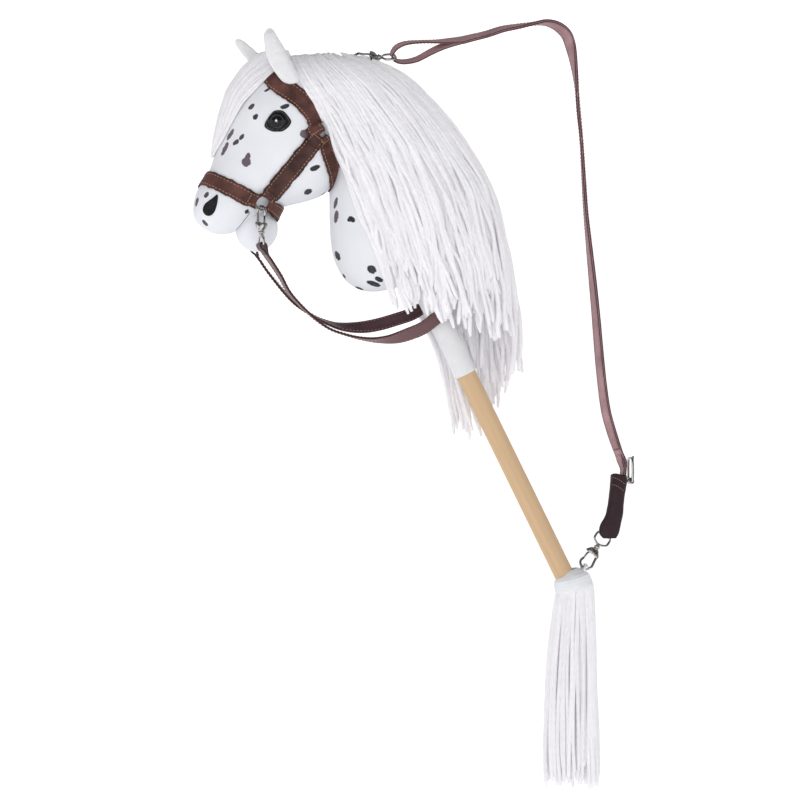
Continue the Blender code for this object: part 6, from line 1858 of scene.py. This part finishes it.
def band():
    """Cloth wound round the stick's end and the tail's roots: a cone that widens to a cylinder."""
    place = frame_at(BAND_MIDDLE, ACROSS, BAND_UP)
    profile = smooth_path([Vector((*p, 0)) for p in (
        (0.0112, BAND_HALF - 0.0004), (BAND_RADIUS - 0.0125, BAND_HALF + 0.0004),
        (BAND_RADIUS - 0.0105, BAND_HALF - 0.0004), (BAND_RADIUS - 0.0055, BAND_HALF - 0.0042),
        (BAND_RADIUS - 0.0018, BAND_HALF - 0.0082), (BAND_RADIUS - 0.0004, -0.002),
        (BAND_RADIUS, -BAND_HALF + 0.003), (BAND_RADIUS - 0.0006, -BAND_HALF + 0.0006),
        (BAND_RADIUS - 0.002, -BAND_HALF), (0.010, -BAND_HALF))], 60)
    rings = []
    for p in profile:
        ring = []
        for turn in around(72):
            wrap = 0.0006 * noise.noise(Vector((math.cos(turn) * 1.5, math.sin(turn) * 1.5, p.y * 150)))
            r = p.x + wrap + 0.00025 * math.sin(p.y * 1800 + turn)
            ring.append(place @ Vector((r * math.cos(turn), r * math.sin(turn), p.y)))
        rings.append(ring)
    piece("band_cloth", loft("band", rings), band_cloth, replaced=("tail_band",))


def tail_cord():
    """The cord of the loop that the bottom snap holds, from one foot in the band to the other."""
    base = BAND_MIDDLE + BAND_UP * (BAND_HALF - 0.010) - BAND_UP.cross(ACROSS) * (BAND_RADIUS - 0.0055)
    right = [(LOW_HOLD, 0.003, 0), (LOW_HOLD, 0.0062, -0.002), (base, 0.0075, 0.0075), (base, 0.0075, -0.003)]
    points = ([at - ACROSS * out + BAND_UP * up for at, out, up in right[::-1]] + [LOW_HOLD]
              + [at + ACROSS * out + BAND_UP * up for at, out, up in right])
    piece("loop_cord", tube(smooth_path(points, 60), 0.0015, 16), band_cloth,
          replaced=("tail_loop",))


def crest_tab():
    """A leather tongue folded round the crest ring's wire, its ends sewn in under the mane."""
    strap = Strap(0.011, 0.0018)
    fold_at = crest_centre + TOP_TOWARDS * RING_MIDDLE
    out = TOP_TOWARDS.cross(ACROSS)
    q = RING_WIRE / 2 + 0.0012
    side_steps = [(0.023, 0.0012), (0.012, 0.0014), (0.003, q)]
    steps = [(fold_at + TOP_TOWARDS * along - out * off, -out) for along, off in side_steps]
    steps += bend(fold_at, out, TOP_TOWARDS, q, (-70, -35, 0, 35, 70))
    steps += [(fold_at + TOP_TOWARDS * along + out * off, out) for along, off in side_steps[::-1]]
    for middle, face in steps:
        strap.station(middle, ACROSS, face)
    strap.finish()
    piece("crest_tab_leather", strap.mesh("crest_tab"), halter_leather,
          replaced=("neck_ring_tab",))


sleeve()
band()
tail_cord()
crest_tab()


# Floor and light: a pale dish whose rim rises far behind the object on every side
def stage():
    scene = bpy.context.scene
    scene.view_settings.view_transform = "Standard"
    floor = Paint("floor", (0.95, 0.95, 0.95), 0.9, Emission_Color=(1, 1, 1, 1), Emission_Strength=FLOOR_GLOW,
                  Specular_IOR_Level=0.1)
    rings = [circle(Matrix(), radius, FLOOR_AT + height, 96) for radius, height in FLOOR_PROFILE]
    mesh = loft("floor", rings, closed=False)
    mesh.materials.append(floor.material)
    mesh.shade_smooth()
    made = bpy.data.objects.new("floor", mesh)
    scene.collection.objects.link(made)
    world = bpy.data.worlds.new("studio")
    world.use_nodes = True
    background = world.node_tree.nodes["Background"]
    background.inputs["Color"].default_value = (1.0, 1.0, 1.0, 1.0)
    background.inputs["Strength"].default_value = WORLD_LIGHT
    scene.world = world
    for name, place, size, power, tint in LIGHTS:
        data = bpy.data.lights.new(name, "AREA")
        data.shape = "SQUARE"
        data.size = size
        data.energy = power
        data.color = tint
        lamp = bpy.data.objects.new(name, data)
        lamp.location = place
        lamp.rotation_euler = (FRAME_CENTRE - Vector(place)).to_track_quat("-Z", "Y").to_euler()
        scene.collection.objects.link(lamp)


FLOOR_AT = -0.366
FLOOR_GLOW = 0.60
# The dish's radius and height above its middle
FLOOR_PROFILE = [(0.00002, 0.0), (5.0, 0.0), (6.2, 0.06), (7.2, 0.4), (8.0, 1.2), (8.4, 2.4), (8.5, 4.0)]
WORLD_LIGHT = 0.20
# Square lamps that look at the middle of the picture: name, place, size, power, tint
LIGHTS = [("key", (-1.5, -2.2, 2.6), 1.6, 14.0, (1.0, 0.995, 0.985)),
          ("front", (-0.85, -2.9, 0.35), 0.45, 6.5, (1.0, 1.0, 1.0)),
          ("fill", (2.4, -2.0, 0.8), 2.0, 2.0, (0.96, 0.98, 1.0)),
          ("rim", (0.8, 2.2, 2.2), 1.6, 8.0, (1.0, 1.0, 1.0))]
stage()
